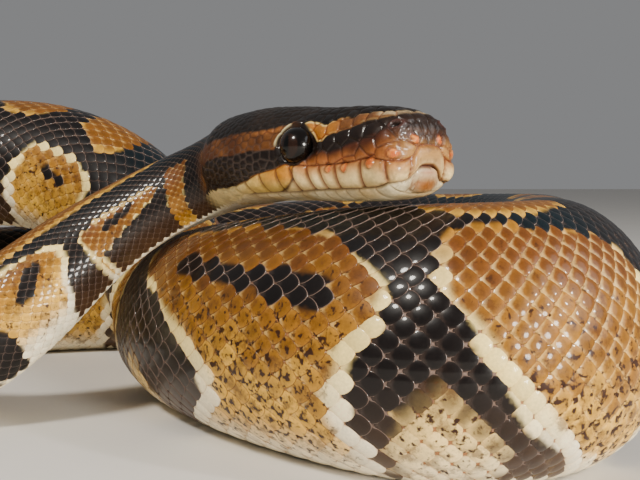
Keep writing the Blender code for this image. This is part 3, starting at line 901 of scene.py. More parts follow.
def make_skin(surface, markings, head, material):
    """One closed skin from the snout to the tip of the tail."""
    spine = surface.spine
    rows, tints, marks = (list(values) for values in head.grid())
    head_rows = len(rows)
    count = HEAD_COLUMNS
    at = HEAD_END
    end = spine.length - SKIN_SHORT
    while at < end:
        at += 0.6 if at < HEAD_END + 3 else BODY_STEP
        at = min(at, end)
        if count > BODY_COLUMNS:
            count //= 2
        angle = np.linspace(-math.pi, math.pi, count + 1)[:-1]
        share = np.interp(angle, surface.angle, surface.share)
        ats = np.full(count, at)
        ring = surface.place(ats, share, np.zeros(count))
        rows.append(ring)
        tints.append(markings.read(ats, share, ring)[2])
        marks.append(np.tile((0.0, 0.0, 1.0), (count, 1)))
    starts = running([len(row) for row in rows]).astype(int)
    length = len(rows)
    faces = {3: [], 4: []}
    spread = {3: [], 4: []}

    def add_band(*corners):
        """A band of faces, given by the numbers, the u and the v of each corner, clockwise from outside."""
        turned = corners[::-1]
        faces[len(corners)].append(np.stack([number for number, _, _ in turned], -1))
        places = [np.stack((np.full(v.shape, u), v), -1) for _, u, v in turned]
        spread[len(corners)].append(np.stack(places, axis=1).reshape(-1, 2))

    def along(i):
        return 0.5 * i / head_rows if i < head_rows else 0.5 + 0.5 * (i - head_rows) / (length - head_rows)

    for i in range(length - 1):
        near, far = len(rows[i]), len(rows[i + 1])
        a, b = starts[i], starts[i + 1]
        ua, ub = along(i), along(i + 1)
        j = np.arange(far)
        k = (j + 1) % far
        far_j = (b + j, ub, j / far)
        far_k = (b + k, ub, (j + 1) / far)
        if near == far:
            add_band((a + j, ua, j / far), (a + k, ua, (j + 1) / far), far_k, far_j)
        else:
            middle = (a + 2 * j + 1, ua, (j + 0.5) / far)
            add_band((a + 2 * j, ua, j / far), middle, far_j)
            add_band(middle, far_k, far_j)
            add_band(middle, (a + (2 * j + 2) % near, ua, (j + 1) / far), far_k)
    points = np.concatenate(rows)
    tips = (points[:len(rows[0])].mean(axis=0), points[starts[-2]:].mean(axis=0))
    for ring, tip, u, turn in ((0, len(points), 0.0, -1), (length - 1, len(points) + 1, 1.0, 1)):
        j = np.arange(len(rows[ring]))
        numbers = (starts[ring] + j, starts[ring] + (j + 1) % len(j), np.full(len(j), tip))
        add_band(*[(number, u, j / len(j)) for number in numbers[::turn]])
    points = np.concatenate((points, tips))
    tint, mark = (np.concatenate(values + [values[0][:1], values[-1][:1]]) for values in (tints, marks))
    item = make_mesh("skin", points, [np.concatenate(faces[3]), np.concatenate(faces[4])], tint, mark,
                     np.concatenate(spread[3] + spread[4]))
    finish_piece(item, material)
    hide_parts("head", "jaw", "neck", "trunk_1", "trunk_2", "trunk_3", "trunk_4", "trunk_5", "trunk_6",
                "tail")


# --- the head ---

# Each curve is a row of distances from the snout and a row of heights over the belly line. The row of
# labials goes on across the front of the snout, where its distances are below 0.
LIP_HEIGHT = ((0.0, 2.0, 5.0, 13.0, 20.0, 26.0, 34.0, 41.0, 48.0),
              (3.9, 3.4, 2.6, 2.2, 1.9, 1.5, 1.3, 1.1, 0.8))
MOUTH_CORNER = 43.5
NOTCH_HEIGHT = 2.6
NOTCH_WIDTH = 3.2
NOTCH_AT = -0.2
ROSTRAL_HALF = 5.2  # half width of the snout's front, where places go on across instead of along
LABIAL_TOP = ((-5.2, -3.0, -1.2, 1.0, 3.4, 5.2, 10.0, 15.0, 20.0, 25.6, 28.2, 32.4, 37.0, 43.6),
              (10.2, 9.9, 8.0, 7.3, 7.6, 7.9, 7.2, 6.8, 6.6, 6.9, 6.1, 5.2, 3.7, 2.6))
UPPER_LABIALS = (-1.2, 2.2, 7.6, 13.4, 16.6, 19.8, 23.8, 28.0, 32.5, 37.0, 41.0, 47.0)
LOWER_LABIALS = (-2.2, 2.3, 5.8, 9.8, 13.0, 15.7, 18.5, 21.2, 24.8, 28.2, 31.6, 35.0, 38.4, 41.8, 45.0)
LOWER_LABIAL_DEPTH = 2.3
PITS = ((-2.3, 10.9, 0.80), (1.3, 8.5, 0.85), (5.1, 7.0, 1.0), (11.2, 6.2, 0.85), (15.2, 6.0, 0.70))
NOSTRIL = (2.2, 13.5, 0.56)
EYE_SHIELDS = 11  # small shields round the eye, with their distance from its middle
EYE_SHIELD_REACH = 4.4
GROOVE = 0.15
LABIAL_GROOVE = 0.24
SHIELD_GAP = 1.9  # how near the middles of two shields may lie, and those of the small scales
SCALE_GAP = 2.0
CELL_BATCH = 4000
LUCK_COUNT = 4000
SHIELDS = (  # middles of the larger shields of the flank: distance from the snout and height
    (18.7, 13.0), (15.5, 13.4), (12.8, 14.0), (9.9, 14.8), (7.2, 15.0), (4.6, 14.9), (22.8, 15.7),
    (26.6, 15.4), (18.6, 9.7), (15.8, 10.6), (12.6, 11.9), (9.2, 12.6), (6.0, 12.7), (10.2, 9.5),
    (14.0, 8.7), (17.0, 8.0), (19.6, 7.7), (5.9, 9.9), (3.2, 11.1),
)
CANTHUS_TOP = ((2.0, 7.8, 10.2, 12.2, 14.8, 16.2, 17.6, 19.8, 22.0, 23.0),
               (16.0, 15.8, 15.6, 15.1, 14.9, 14.4, 14.0, 14.3, 14.5, 14.1))
CANTHUS_LOW = ((2.0, 6.2, 8.6, 10.4, 12.8, 14.2, 16.0, 17.2, 18.8, 20.6, 21.8, 23.0),
               (15.4, 14.3, 14.1, 13.3, 12.8, 12.4, 12.0, 11.0, 11.0, 12.7, 13.3, 14.3))
EYE_BAND_LOW = ((0.0, 1.6, 3.0, 4.6, 6.2, 8.6, 10.6, 13.4, 19.6, 21.0),
                (12.7, 12.6, 12.5, 11.9, 11.3, 10.6, 10.1, 9.1, 8.9, 8.3))
CROWN_LOW = ((26.0, 28.8, 32.8, 37.2, 41.8, 46.6, 54.0),
             (14.2, 13.8, 13.3, 13.2, 12.8, 12.6, 12.7))
CHEEK_TOP = ((26.0, 29.6, 34.0, 40.4, 45.8, 49.6, 52.5, 56.0),
             (9.8, 9.6, 9.5, 8.9, 8.8, 8.0, 5.6, 3.6))
CHEEK_LOW = ((25.0, 28.2, 32.4, 37.0, 43.6, 54.0),
             (7.2, 6.1, 5.2, 3.6, 2.6, 3.5))
GOLD_EDGE = ((1.3, 2.3, 4.0, 5.2, 6.6),  # heights and distances of the dark edge before the gold
             (30.8, 27.4, 24.6, 24.0, 23.6))
TAN = paint(174, 112, 56)
PINK = paint(178, 86, 36)
RED_BROWN = paint(100, 44, 20)
# the dark red of painted shade in the notch under the snout and in the hollows round the pits
HOLLOW_SHADE_RED = paint(84, 30, 18)
GOLD = paint(188, 124, 34)
PALE_GOLD = paint(216, 182, 98)
HEAD_BLACK = paint(24, 15, 11)
SNOUT_DARK = paint(34, 22, 16)


def lip_height(u, w):
    """Height of the mouth line, with the notch under the snout."""
    notch = NOTCH_HEIGHT * np.exp(-((w - NOTCH_AT) / NOTCH_WIDTH) ** 4) * ramp(u, 2.6, 0.8)
    return monotone(*LIP_HEIGHT, u) + notch


def lip_place(u, w):
    """Place along the row of labials, which goes on across the front of the snout."""
    return np.where(u < 2.4, np.minimum(u, np.abs(w) - ROSTRAL_HALF), u)


def gold_edge(u, h):
    """Distance behind the dark edge in front of the golden shields, in millimetres."""
    lean = 1 + 2.2 * ramp(h, 4.6, 2.4)
    return (u - monotone(*GOLD_EDGE, h)) / lean


def head_tint(u, w, h):
    """The colours of the head before its sutures, pits and nostrils."""
    place = np.stack((u, w, h), -1)
    rough = grain(place, 3.0, 5)
    wave = grain(place, 1.5, 8) * 0.22
    p = lip_place(u, w)
    lip = lip_height(u, w)
    top = monotone(*LABIAL_TOP, p)
    band_low, canthus_top, canthus_low, cheek_low, cheek_top, crown_low = (
        monotone(*curve, u) + wave
        for curve in (EYE_BAND_LOW, CANTHUS_TOP, CANTHUS_LOW, CHEEK_LOW, CHEEK_TOP, CROWN_LOW))
    # In front of the eye, from the lip up.
    climb = (h - top) / np.maximum(band_low - top, 0.5)
    upper = mix(paint(150, 88, 40), paint(64, 32, 18), ramp(climb + rough * 0.15, 0.10, 0.95))
    front = mix(paint(160, 116, 62), paint(62, 40, 26), ramp(h + rough, 8.4, 12.0))
    inside = np.minimum(h - canthus_low, canthus_top - h)
    ochre = layered(paint(164, 102, 32), (paint(104, 64, 32), ramp(u + rough, 17.0, 13.0)),
                    (CREAM, ramp(inside, 0.45, 0.10) * (0.10 + 0.60 * ramp(u, 15.0, 18.0))),
                    (paint(190, 168, 128), ramp(u, 7.5, 5.5) * ramp(h, 14.9, 15.4) * 0.8))
    crown = mix(paint(17, 12, 9), paint(40, 30, 23), ramp(rough, -0.4, 0.8) * 0.5)
    face = layered(
        paint(238, 212, 150), (paint(222, 192, 130), ramp(rough, -0.6, 0.8)),
        (TAN, ramp(h - top + rough * 0.4, -3.0, -0.3) * 0.85),
        (upper, ramp(h - top, -0.3, 0.5)),
        (front, ramp(p, 3.2, -0.6) * ramp(h - top, -1.6, 0.2) * 0.9),
        (front, ramp(p, -0.6, -2.2) * ramp(h - lip, 0.0, 1.2) * ramp(w, 3.4, 2.0) * 0.85),
        (mix(HEAD_BLACK, SNOUT_DARK, ramp(u, 9.0, 3.0)), ramp(h - band_low, -0.35, 0.45)),
        (ochre, ramp(inside, -0.15, 0.15) * ramp(u, 2.0, 5.0)),
        (crown, ramp(h - canthus_top, -0.15, 0.2)))
    # Behind the eye.
    orange = layered(paint(70, 38, 16), (paint(106, 64, 28), ramp(rough, -0.7, 0.6)),
                     (paint(160, 100, 46), ramp(h - crown_low, -1.2, -0.2) * ramp(u, 40.0, 30.0) * 0.5))
    cheek = layered(
        PALE_GOLD, (GOLD, ramp(h - lip, 0.8, 3.4) * ramp(u, 38.0, 27.0)),
        (paint(228, 210, 158), ramp(u, 33.0, 44.0) * 0.7),
        (HEAD_BLACK, ramp(h - cheek_low, -0.2, 0.2)),
        (orange, ramp(h - cheek_top, -0.2, 0.2)),
        (crown, ramp(h - crown_low, -0.35, 0.35)))
    behind = np.where(h < 7.2, ramp(gold_edge(u, h), -0.15, 0.15), ramp(u, EYE_AT - 0.8, EYE_AT + 0.8))
    jaw = mix(paint(226, 208, 166), paint(212, 182, 126), ramp(rough, -0.5, 0.7))
    return layered(face, (cheek, behind), (jaw, ramp(lip - h, 0.0, 0.3)))


class Head:
    """The sculpted head: a dense grid over the solids' head with its shields, pits, mouth and lids."""

    def __init__(self, spine):
        steps = np.arange(0.0, HEAD_END + 0.01, HEAD_STEP)
        rows = [(0.0, q) for q in np.linspace(0.06, 1.0, CAP_ROWS)[:-1]] + [(s, 1.0) for s in steps]
        at, shrink = np.array(rows).T[:, :, None]
        self.u = at + np.zeros(HEAD_COLUMNS)
        angles = np.array([even_angles(row[0], HEAD_COLUMNS) for row in rows])
        across, height = section(self.u, angles)
        middle = (height.max(axis=1, keepdims=True) + height.min(axis=1, keepdims=True)) / 2
        self.w = across * shrink
        self.h = middle + (height - middle) * shrink
        origin = spine.read(spine.line, self.u)
        side = spine.read(spine.side, self.u)
        up = spine.read(spine.up, self.u)
        self.base = origin + self.w[..., None] * side + self.h[..., None] * up
        along = np.gradient(self.base, axis=0)
        around = (np.roll(self.base, -1, axis=1) - np.roll(self.base, 1, axis=1)) / 2
        normal = unit(np.cross(around, along))
        for _ in range(6):
            normal[1:-1] = normal[:-2] + 2 * normal[1:-1] + normal[2:]
            normal = unit(normal)
        self.normal = normal

    def flank(self, u, h):
        """Half width of the head at a distance and height."""
        angles = np.linspace(0, math.pi, 181)
        across, height = section(u, angles)
        return float(np.interp(h, height[::-1], across[::-1]))

    def seeds(self):
        """Middle points of the shields and small scales above the lip and under the chin."""
        kept = []
        for side in (1, -1):
            for u, h in SHIELDS:
                kept.append((u, self.flank(u, h) * side, h))
            for k in range(EYE_SHIELDS):
                turn = 2 * math.pi * (k + 0.5) / EYE_SHIELDS
                u = EYE_AT + EYE_SHIELD_REACH * math.cos(turn)
                h = EYE_HEIGHT + EYE_SHIELD_REACH * math.sin(turn)
                ring = np.array((u, self.flank(u, h) * side, h))
                if min(np.linalg.norm(ring - other) for other in np.array(kept)) > SHIELD_GAP:
                    kept.append(tuple(ring))
        rng = np.random.default_rng(SEED)
        for h in (8.9, 10.9, 12.9):
            for k in range(-2, 3):
                kept.append((0.0, 1.9 * k + 0.9 * (h > 10 and h < 12), h + rng.uniform(-0.3, 0.3)))
        fixed = np.array(kept)
        row = 0
        u = 2.0
        while u < HEAD_END + 3:
            step = 3.1 - 1.2 * ramp(u, 12.0, 27.0)
            angles = even_angles(u, 720)
            arc = outline_lengths(u, angles)
            arc = arc - np.interp(0.0, angles, arc)
            count = math.floor(arc[-1] / (step * 0.92))
            for k in range(-count, count + 1):
                a = np.interp((k + 0.5 * (row % 2)) * step * 0.92, arc, angles)
                w, h = section(u, a)
                place = np.array((u, float(w), float(h))) + rng.uniform(-0.16, 0.16, 3) * step
                if np.linalg.norm(fixed - place, axis=1).min() > SCALE_GAP:
                    kept.append(tuple(place))
            u += step * 0.87
            row += 1
        seeds = np.array(kept)
        near_eye = np.hypot(seeds[:, 0] - EYE_AT, seeds[:, 2] - EYE_HEIGHT) < EYE_RADIUS + 0.4
        return seeds[~near_eye | (np.abs(seeds[:, 1]) < 3.0)]

    def cells(self, u, w, h):
        """For each point the number of its shield and its distance from the shield's edge."""
        lip = lip_height(u, w)
        p = lip_place(u, w)
        top = monotone(*LABIAL_TOP, p)
        seeds = self.seeds()
        flat = np.stack((u, w, h), -1).reshape(-1, 3)
        cell = np.empty(len(flat), int)
        edge = np.empty(len(flat))
        for start in range(0, len(flat), CELL_BATCH):
            batch = slice(start, start + CELL_BATCH)
            away = ((flat[batch, None] - seeds[None]) ** 2).sum(-1)
            two = np.argpartition(away, 1, axis=1)[:, :2]
            d = np.take_along_axis(away, two, axis=1)
            first, second = np.where(d[:, 0] > d[:, 1], two.T[::-1], two.T)
            cell[batch] = first
            apart = np.linalg.norm(seeds[first] - seeds[second], axis=-1)
            edge[batch] = np.abs(d[:, 0] - d[:, 1]) / (2 * apart)
        cell = cell.reshape(u.shape)
        edge = edge.reshape(u.shape)
        corner = ramp(u, MOUTH_CORNER + 1.0, MOUTH_CORNER - 1.0)
        share = np.clip((h - lip) / (top - lip), 0, 1)
        leaning = p - 1.2 * share * ramp(p, 11.0, 17.0) * ramp(p, 30.0, 23.0)
        upper = (h > lip) & (h < top) & (u < MOUTH_CORNER)
        lower = (h <= lip) & (h > lip - LOWER_LABIAL_DEPTH) & (u < MOUTH_CORNER + 1)
        side = np.where(w >= 0, 1, 0)
        for line in (top, lip - LOWER_LABIAL_DEPTH):
            edge = np.where(corner > 0.5, np.minimum(edge, np.abs(h - line) + 1e-3), edge)
        for edges, inside, row_at, base, low, high in (
            (UPPER_LABIALS, upper, leaning, 1000, lip, top),
            (LOWER_LABIALS, lower, p, 2000, lip - LOWER_LABIAL_DEPTH, lip),
        ):
            slots = np.array(edges)
            number = np.searchsorted(slots, row_at)
            near = np.minimum(*(np.abs(row_at - slots[np.clip(slot, 0, len(slots) - 1)])
                                for slot in (number - 1, number)))
            level = np.maximum(np.minimum(h - low, high - h), 1e-3)
            rounded = near * level / np.maximum(np.hypot(near, level), 1e-3)
            number = np.where(number == 0, 0, number + 40 * side)
            cell = np.where(inside, base + number, cell)
            edge = np.where(inside, rounded, edge)
        return cell, edge, lip, p, corner, upper

    def add_pits(self, rise, p):
        """The heat pits, each a swelling with a hollow in it, and where these two show."""
        bulge = np.zeros(self.u.shape)
        recess = np.zeros(self.u.shape)
        for pit_p, pit_h, size in PITS:
            scale = 1 + 0.35 * ramp(np.abs(pit_p - 2.0), 2.0, 0.5)  # places run faster round the corner
            hollow = np.hypot((p - pit_p) * scale - 0.30 * size, self.h - pit_h - 0.10 * size) / (1.35 * size)
            ball = np.hypot((p - pit_p) * scale, self.h - pit_h) / size
            swell = np.sqrt(np.clip(1 - ball ** 2, 0, 1))
            hollow = hump(hollow, 1, 6)
            rise = rise - 0.28 * hollow + (0.22 + 0.25 * size) * swell * (1 - 0.5 * ramp(self.w, 0.0, 2.0))
            bulge = np.maximum(bulge, ramp(ball, 1.0, 0.75))
            recess = np.maximum(recess, hollow)
        return rise, bulge, recess

    def add_nostril(self, rise, lip):
        """The nostril with its rim, and the chin."""
        u, w, h = self.u, self.w, self.h
        hole = np.hypot(u - NOSTRIL[0], (h - NOSTRIL[1]) * 1.2) / NOSTRIL[2]
        hole = np.where(np.abs(w) > 2.0, hole, 9.0)
        rise = rise - 0.9 * hump(hole, 1, 4) + 0.14 * hump(hole - 1.6, 0.4)
        chin = hump(np.hypot(w / 3.2, (h - 3.8) / 2.4), 1, 4) * ramp(u, 3.0, 0.8) * (h < lip)
        rise = rise + 0.55 * chin
        return rise, hole, chin

    def add_eyes(self, rise):
        """The socket and lids of each eye, the hollow in front of it and the brow."""
        u, w, h = self.u, self.w, self.h
        for side in (1, -1):
            here = w * side > 2.0
            away = np.where(here, np.hypot(u - EYE_AT, h - EYE_HEIGHT), 99.0)
            rise = rise - 2.1 * ramp(away, 3.25, 2.5)
            lid = (0.25 + 0.35 * ramp(h, 9.0, 11.5)) * hump(away - 4.1, 0.55)
            rise = rise + lid * ramp(u, 21.5, 26.0)
            loreal = np.exp(-((u - 20.3) / 1.6) ** 2 - ((h - EYE_HEIGHT + 0.2) / 2.8) ** 2)
            rise = rise - 1.35 * loreal * here
            brow = np.exp(-((h - EYE_HEIGHT - 4.2) / 1.2) ** 2 - ((u - EYE_AT) / 4.5) ** 2)
            rise = rise + 0.25 * brow * here
        return rise

    def eye_layers(self):
        """The dark skin and the pale crescent round the eyes, as layers of colour."""
        u, w, h = self.u, self.w, self.h
        orbit = np.where(np.abs(w) > 2.0, np.hypot(u - EYE_AT, h - EYE_HEIGHT), 99.0)
        turn = np.degrees(np.arctan2(h - EYE_HEIGHT, u - EYE_AT))
        crescent = hump(orbit - 4.35, 0.42, 4) * ramp(turn, -4.0, 8.0) * ramp(turn, 70.0, 56.0)
        around = ramp(orbit, 4.3, 4.0) * ramp(turn, 150.0, 120.0) * ramp(turn, -60.0, -30.0)
        around = np.maximum(around, ramp(orbit, 3.8, 3.6))
        return (HEAD_BLACK, around * 0.9), (paint(214, 198, 152), crescent)

    def grid(self):
        """The points of the head's skin, row by row, with their colours and marks."""
        u, w, h = self.u, self.w, self.h
        cell, edge, lip, p, corner, upper = self.cells(u, w, h)
        luck = np.random.default_rng(SEED + 1).uniform(-1, 1, LUCK_COUNT)[cell]
        place = np.stack((u, w, h), -1)
        blend = ramp(u, HEAD_END - 1.0, HEAD_END - 6.0)
        groove = hump(edge, np.where(upper, LABIAL_GROOVE, GROOVE))
        front = ramp(u, 24.0, 14.0)
        depth = np.where(upper, 0.24, 0.08 + 0.04 * front)
        plump = np.where(upper, 0.60 * (1 - hump(edge, 0.75, 1.6)),
                         (0.12 + 0.16 * front) * (1 - np.exp(-edge / 0.60)))
        rise = -HEAD_COAT - depth * groove + plump + 0.03 * luck
        # The mouth line, the lower labials and the front of the snout.
        rise = rise - 0.50 * hump(h - lip, 0.17) * corner
        rise = rise - 0.12 * (cell >= 2000) + HEAD_COAT * ramp(h, 2.2, 0.8)
        rise = rise + 0.30 * ramp(u, 3.5, 0.5) * ramp(h, 12.0, 9.0) * (h > lip)
        wrinkle = grain(place * (1.0, 1.0, 0.45), 0.42, 17) * ramp(u, 7.0, 1.5)
        rise = rise + 0.035 * wrinkle * (1 - groove)
        coat = COAT[0] + COAT[1] * (girth(u) / FULL_GIRTH) ** PITCH_POWER
        rise, bulge, recess = self.add_pits(rise, p)
        rise, hole, chin = self.add_nostril(rise, lip)
        rise = self.add_eyes(rise)
        rise = rise * blend - coat * (1 - blend)
        points = self.base + self.normal * rise[..., None]
        fine = grain(place, 0.7, 6)
        light = head_tint(u, w, h) * (1 + 0.14 * luck + 0.10 * fine)[..., None]
        shine = light @ LIGHTNESS
        pale = ramp(shine, 0.03, 0.16)
        open_band = ramp(u, 25.0, 29.0) * ramp(h, 11.5, 10.0)
        dark_seam = mix(paint(38, 28, 23), paint(78, 64, 56), open_band)
        seam = mix(dark_seam, RED_BROWN, pale)
        # painted shade: the fronts of the upper labials grow darker and browner toward their edges, where
        # their rounded faces turn away
        shade = hump(edge, 0.6) * upper * ramp(u, 30.0, 22.0)
        fade = 1 - ramp(u, 39.5, 41.5) * ramp(h, 5.2, 4.2)  # the lines end before the corner of the jaw
        tint = layered(
            light, (paint(140, 84, 40), shade * 0.65),
            (seam, groove * (0.55 + 0.35 * pale) * (h > lip) * fade),
            (paint(150, 116, 84), groove * 0.75 * (h <= lip) * ramp(u, 43.0, 39.0)))
        tint = mix(tint, tint * 0.72, ramp(wrinkle, 0.2, 0.7))
        line = hump(gold_edge(u, h), 0.24) * (h < 6.9) * (h > lip)
        notch = hump(np.hypot(w / 2.2, (h - lip) / 0.5), 1, 4) * ramp(u, 1.5, 0.6)
        tint = layered(
            tint, (paint(66, 36, 20), line * 0.9),
            *self.eye_layers(),
            (paint(132, 78, 30), chin * ramp(h, 5.6, 3.6)),
            (paint(150, 88, 56), chin * ramp(h, 4.4, 5.6)),
            # painted shade: dark red in the notch under the snout and in the hollows round the heat pits
            (HOLLOW_SHADE_RED, notch * 0.8),
            (HOLLOW_SHADE_RED, recess * 0.6),
            (mix(PINK, paint(208, 130, 66), ramp(fine, -0.5, 0.5)), bulge),
            (paint(70, 40, 34), hump(hole - 1.5, 0.5) * 0.6),
            # painted shadow: the inside of the nostril nearly black
            (paint(14, 7, 6), hump(hole, 0.95, 4)),
            # painted shade along the crease of the mouth line
            (paint(60, 32, 22), hump(h - lip, 0.15) * fade * 0.85))
        # How flecked, how wet and how pale.
        marks = np.zeros(tint.shape)
        marks[..., 0] = 0.02 * ramp(shine, 0.08, 0.25)
        marks[..., 1] = np.maximum(0.45 * ramp(u, 14.0, 6.0) * ramp(h, 11.5, 10.0), bulge)
        marks[..., 2] = ramp(shine, 0.02, 0.10)
        return points, np.clip(tint, 0, 1), marks


# --- materials ---

class Nodes:
    """The nodes of one material. Inputs are given as values or as the outputs that feed them."""

    def __init__(self, name):
        self.material = bpy.data.materials.new(name)
        self.material.use_nodes = True
        self.tree = self.material.node_tree
        self.shader = self.tree.nodes["Principled BSDF"]
        self.place = self.add("TexCoord", "Object")

    def feed(self, node, inputs):
        for key, value in inputs.items():
            if isinstance(value, bpy.types.NodeSocket):
                self.tree.links.new(value, node.inputs[key])
            else:
                node.inputs[key].default_value = value

    def add(self, kind, output, inputs=None, **settings):
        """One output of a new node."""
        node = self.tree.nodes.new("ShaderNode" + kind)
        for key, value in settings.items():
            setattr(node, key, value)
        self.feed(node, inputs or {})
        return node.outputs[output]

    def noise(self, scale, **more):
        return self.add("TexNoise", "Fac", {"Vector": self.place, "Scale": scale, **more})

    def remap(self, value, start=(0, 1), end=(0, 1), kind="LINEAR"):
        limits = zip(("From Min", "From Max", "To Min", "To Max"), start + end)
        return self.add("MapRange", "Result", {"Value": value, **dict(limits)}, interpolation_type=kind)

    def mottled_tint(self, noise, low, high):
        """The colours of the mesh, made darker and lighter by a noise."""
        tint = self.add("Attribute", "Color", attribute_name="tint")
        shade = self.remap(noise, end=(low, high))
        return self.add("VectorMath", "Vector", {0: tint, "Scale": shade}, operation="SCALE")

    def blend(self, share, below, above):
        return self.add("Mix", "Result", {"Factor": share, "A": below, "B": above}, data_type="RGBA")


def scale_material(name, roughness, coat, bump):
    """Scales and skin: markings from the mesh, dark flecks, a fine mottle and a worn gloss."""
    nodes = Nodes(name)
    marks = nodes.add("Attribute", "Color", attribute_name="marks")
    flecked = nodes.add("SeparateColor", "Red", {"Color": marks})
    allowed = nodes.remap(flecked, (0, 0.12))
    mottle = nodes.noise(1900.0, Detail=4.0)
    flecks = nodes.noise(840.0, Detail=2.0, Roughness=0.5, Distortion=0.25)
    raised = nodes.add("Math", "Value", {0: flecked, 1: 0.17, 2: flecks}, operation="MULTIPLY_ADD")
    smudges = nodes.noise(340.0, Detail=5.0, Roughness=0.7)
    tone = nodes.mottled_tint(mottle, 0.72, 1.28)
    for mask, dark in ((nodes.remap(smudges, (0.48, 0.66), (0, 0.62), "SMOOTHSTEP"), paint(74, 40, 16)),
                       (nodes.remap(raised, (0.62, 0.76), kind="SMOOTHSTEP"), paint(52, 27, 13))):
        share = nodes.add("Math", "Value", {0: mask, 1: allowed}, operation="MULTIPLY")
        tone = nodes.blend(share, tone, (*dark, 1.0))
    wear = nodes.remap(mottle, end=(roughness - 0.07, roughness + 0.09))
    wet = nodes.add("Math", "Value", {0: flecked.node.outputs["Green"], 1: -0.18, 2: wear},
                    operation="MULTIPLY_ADD", use_clamp=True)
    ridges = nodes.add("Bump", "Normal", {"Strength": bump, "Distance": 0.0001, "Height": mottle})
    nodes.feed(nodes.shader, {"Base Color": tone, "Roughness": wet, "Normal": ridges, "IOR": 1.5,
                              "Specular IOR Level": 0.16, "Coat Weight": coat, "Coat Roughness": 0.07})
    return nodes.material


def eye_material():
    """A wet, nearly black eye: dark brown iris, upright pupil and a clear gloss over both."""
    nodes = Nodes("python_eye")
    tone = nodes.mottled_tint(nodes.noise(1500.0), 0.6, 1.4)
    nodes.feed(nodes.shader, {"Base Color": tone, "Roughness": 0.25, "IOR": 1.4, "Specular IOR Level": 0.15,
                              "Coat Weight": 1.0, "Coat IOR": 1.3, "Coat Roughness": 0.02})
    return nodes.material


def floor_material():
    nodes = Nodes("pale_floor")
    tone = nodes.blend(nodes.noise(40.0, Detail=6.0), (0.66, 0.63, 0.58, 1.0), (0.72, 0.69, 0.65, 1.0))
    nodes.feed(nodes.shader, {"Base Color": tone, "Roughness": 0.8})
    return nodes.material


# --- eyes ---

EYE_GRID = (48, 72)
EYE_INSIDE = 0.02  # how far the ball lies inside the solid


def make_eye(surface, side, name, material):
    """A fine ball with its pupil and iris turned outward."""
    spine = surface.spine
    centre = spine.read(spine.line, EYE_AT) + spine.read(spine.side, EYE_AT) * EYE_OUT * side
    centre = centre + UP * EYE_HEIGHT
    gaze = unit(spine.read(spine.side, EYE_AT) * side - 0.18 * spine.read(spine.tangent, EYE_AT))
    flank = unit(np.cross(UP, gaze))
    rings, count = EYE_GRID
    tilt = np.linspace(0, math.pi, rings + 1)[1:-1]
    turn = np.linspace(0, 2 * math.pi, count + 1)[:-1]
    tilt, turn = np.meshgrid(tilt, turn, indexing="ij")
    out = np.cos(tilt)
    x = np.sin(tilt) * np.cos(turn)
    y = np.sin(tilt) * np.sin(turn)
    local = np.concatenate(([(0.0, 0.0, 1.0)], np.stack((x, y, out), -1).reshape(-1, 3), [(0.0, 0.0, -1.0)]))
    axes = np.stack((flank, np.cross(gaze, flank), gaze))
    points = centre + (local @ axes) * (EYE_RADIUS - EYE_INSIDE)
    x, y, out = local.T
    away = np.hypot(x, y)
    iris = ramp(away, 0.66, 0.60) * (out > 0)
    slit = ramp(np.hypot(x / 0.17, y / 0.55), 1.08, 0.92) * (out > 0)
    tint = layered(paint(9, 6, 5), (paint(34, 19, 12), iris * 0.8), (paint(4, 4, 4), slit))
    j = np.arange(count)
    k = (j + 1) % count
    quads = [np.stack((a + j, a + count + j, a + count + k, a + k), -1)
             for a in 1 + np.arange(rings - 2) * count]
    last = len(local) - 1
    fans = [np.stack((np.zeros(count, int), 1 + j, 1 + k), -1),
            np.stack((np.full(count, last), last - count + k, last - count + j), -1)]
    spread = 0.5 + 0.24 * np.stack((x, y), -1)
    spread[:, 0] = spread[:, 0] / 2 + 0.5 * (out < 0)
    faces = [np.concatenate(fans), np.concatenate(quads)]
    item = make_mesh(name, points, faces, tint, np.zeros_like(tint), spread)
    finish_piece(item, material)
    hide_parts(name.replace("ball_", ""))


# --- stage ---

def add_area(name, location, target, size, power, colour):
    light = bpy.data.lights.new(name, "AREA")
    light.shape = "DISK"
    light.size = size
    light.energy = power
    light.color = colour
    item = bpy.data.objects.new(name, light)
    item.location = location
    direction = np.array(target) - np.array(location)
    flat = math.hypot(direction[0], direction[1])
    item.rotation_euler = (math.atan2(flat, -direction[2]), 0, math.atan2(-direction[0], direction[1]))
    bpy.context.collection.objects.link(item)


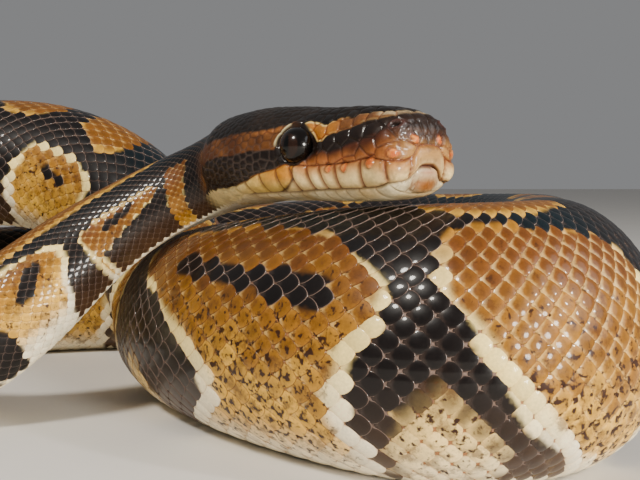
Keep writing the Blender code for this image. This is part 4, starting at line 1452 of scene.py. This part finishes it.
def make_stage():
    bpy.ops.mesh.primitive_plane_add(size=6.0)
    floor = bpy.context.object
    floor.name = "floor"
    floor.data.materials.append(floor_material())
    world = bpy.data.worlds.new("studio")
    world.use_nodes = True
    sky = world.node_tree.nodes["Background"]
    sky.inputs["Color"].default_value = (0.92, 0.93, 0.95, 1.0)
    sky.inputs["Strength"].default_value = 0.25
    bpy.context.scene.world = world
    add_area("key", (-0.35, -0.55, 0.75), (0.0, -0.03, 0.02), 0.16, 8.5, (1.0, 0.95, 0.86))
    add_area("front", (0.40, -0.52, 0.14), (0.0, 0.0, 0.03), 0.14, 4.2, (1.0, 0.95, 0.86))
    add_area("fill", (0.75, -0.25, 0.45), (0.0, 0.0, 0.03), 0.6, 2.5, (0.92, 0.96, 1.0))
    add_area("flash", (0.33, -0.223, 0.20), (0.05, -0.055, 0.055), 0.02, 0.5, (1.0, 0.97, 0.92))


CAMERA_HEIGHT = 52.6
CAMERA_PITCH = math.radians(4.0)
CAMERA_FOCAL = 950.0 / 640.0  # focal length against the width of the picture
SENSOR = 36.0


def make_camera():
    camera = bpy.data.cameras.new("camera")
    camera.sensor_width = SENSOR
    camera.lens = SENSOR * CAMERA_FOCAL
    camera.clip_start = 0.01
    item = bpy.data.objects.new("camera", camera)
    item.location = (-COIL_CENTRE[0] * MM, -COIL_CENTRE[1] * MM, CAMERA_HEIGHT * MM)
    item.rotation_euler = (math.pi / 2 - CAMERA_PITCH, 0, 0)
    bpy.context.collection.objects.link(item)
    bpy.context.scene.camera = item


def main():
    make_camera()
    make_stage()
    spine = Spine()
    surface = Surface(spine)
    lattice = Lattice(spine)
    markings = Markings(surface, lattice)
    scales = scale_material("python_scales", 0.42, 0.30, 0.10)
    skin = scale_material("python_skin", 0.42, 0.28, 0.18)
    make_skin(surface, markings, Head(spine), skin)
    make_scales(surface, lattice, markings, scales)
    make_scutes(surface, lattice, scales)
    wet = eye_material()
    make_eye(surface, 1, "ball_eye_left", wet)
    make_eye(surface, -1, "ball_eye_right", wet)


main()
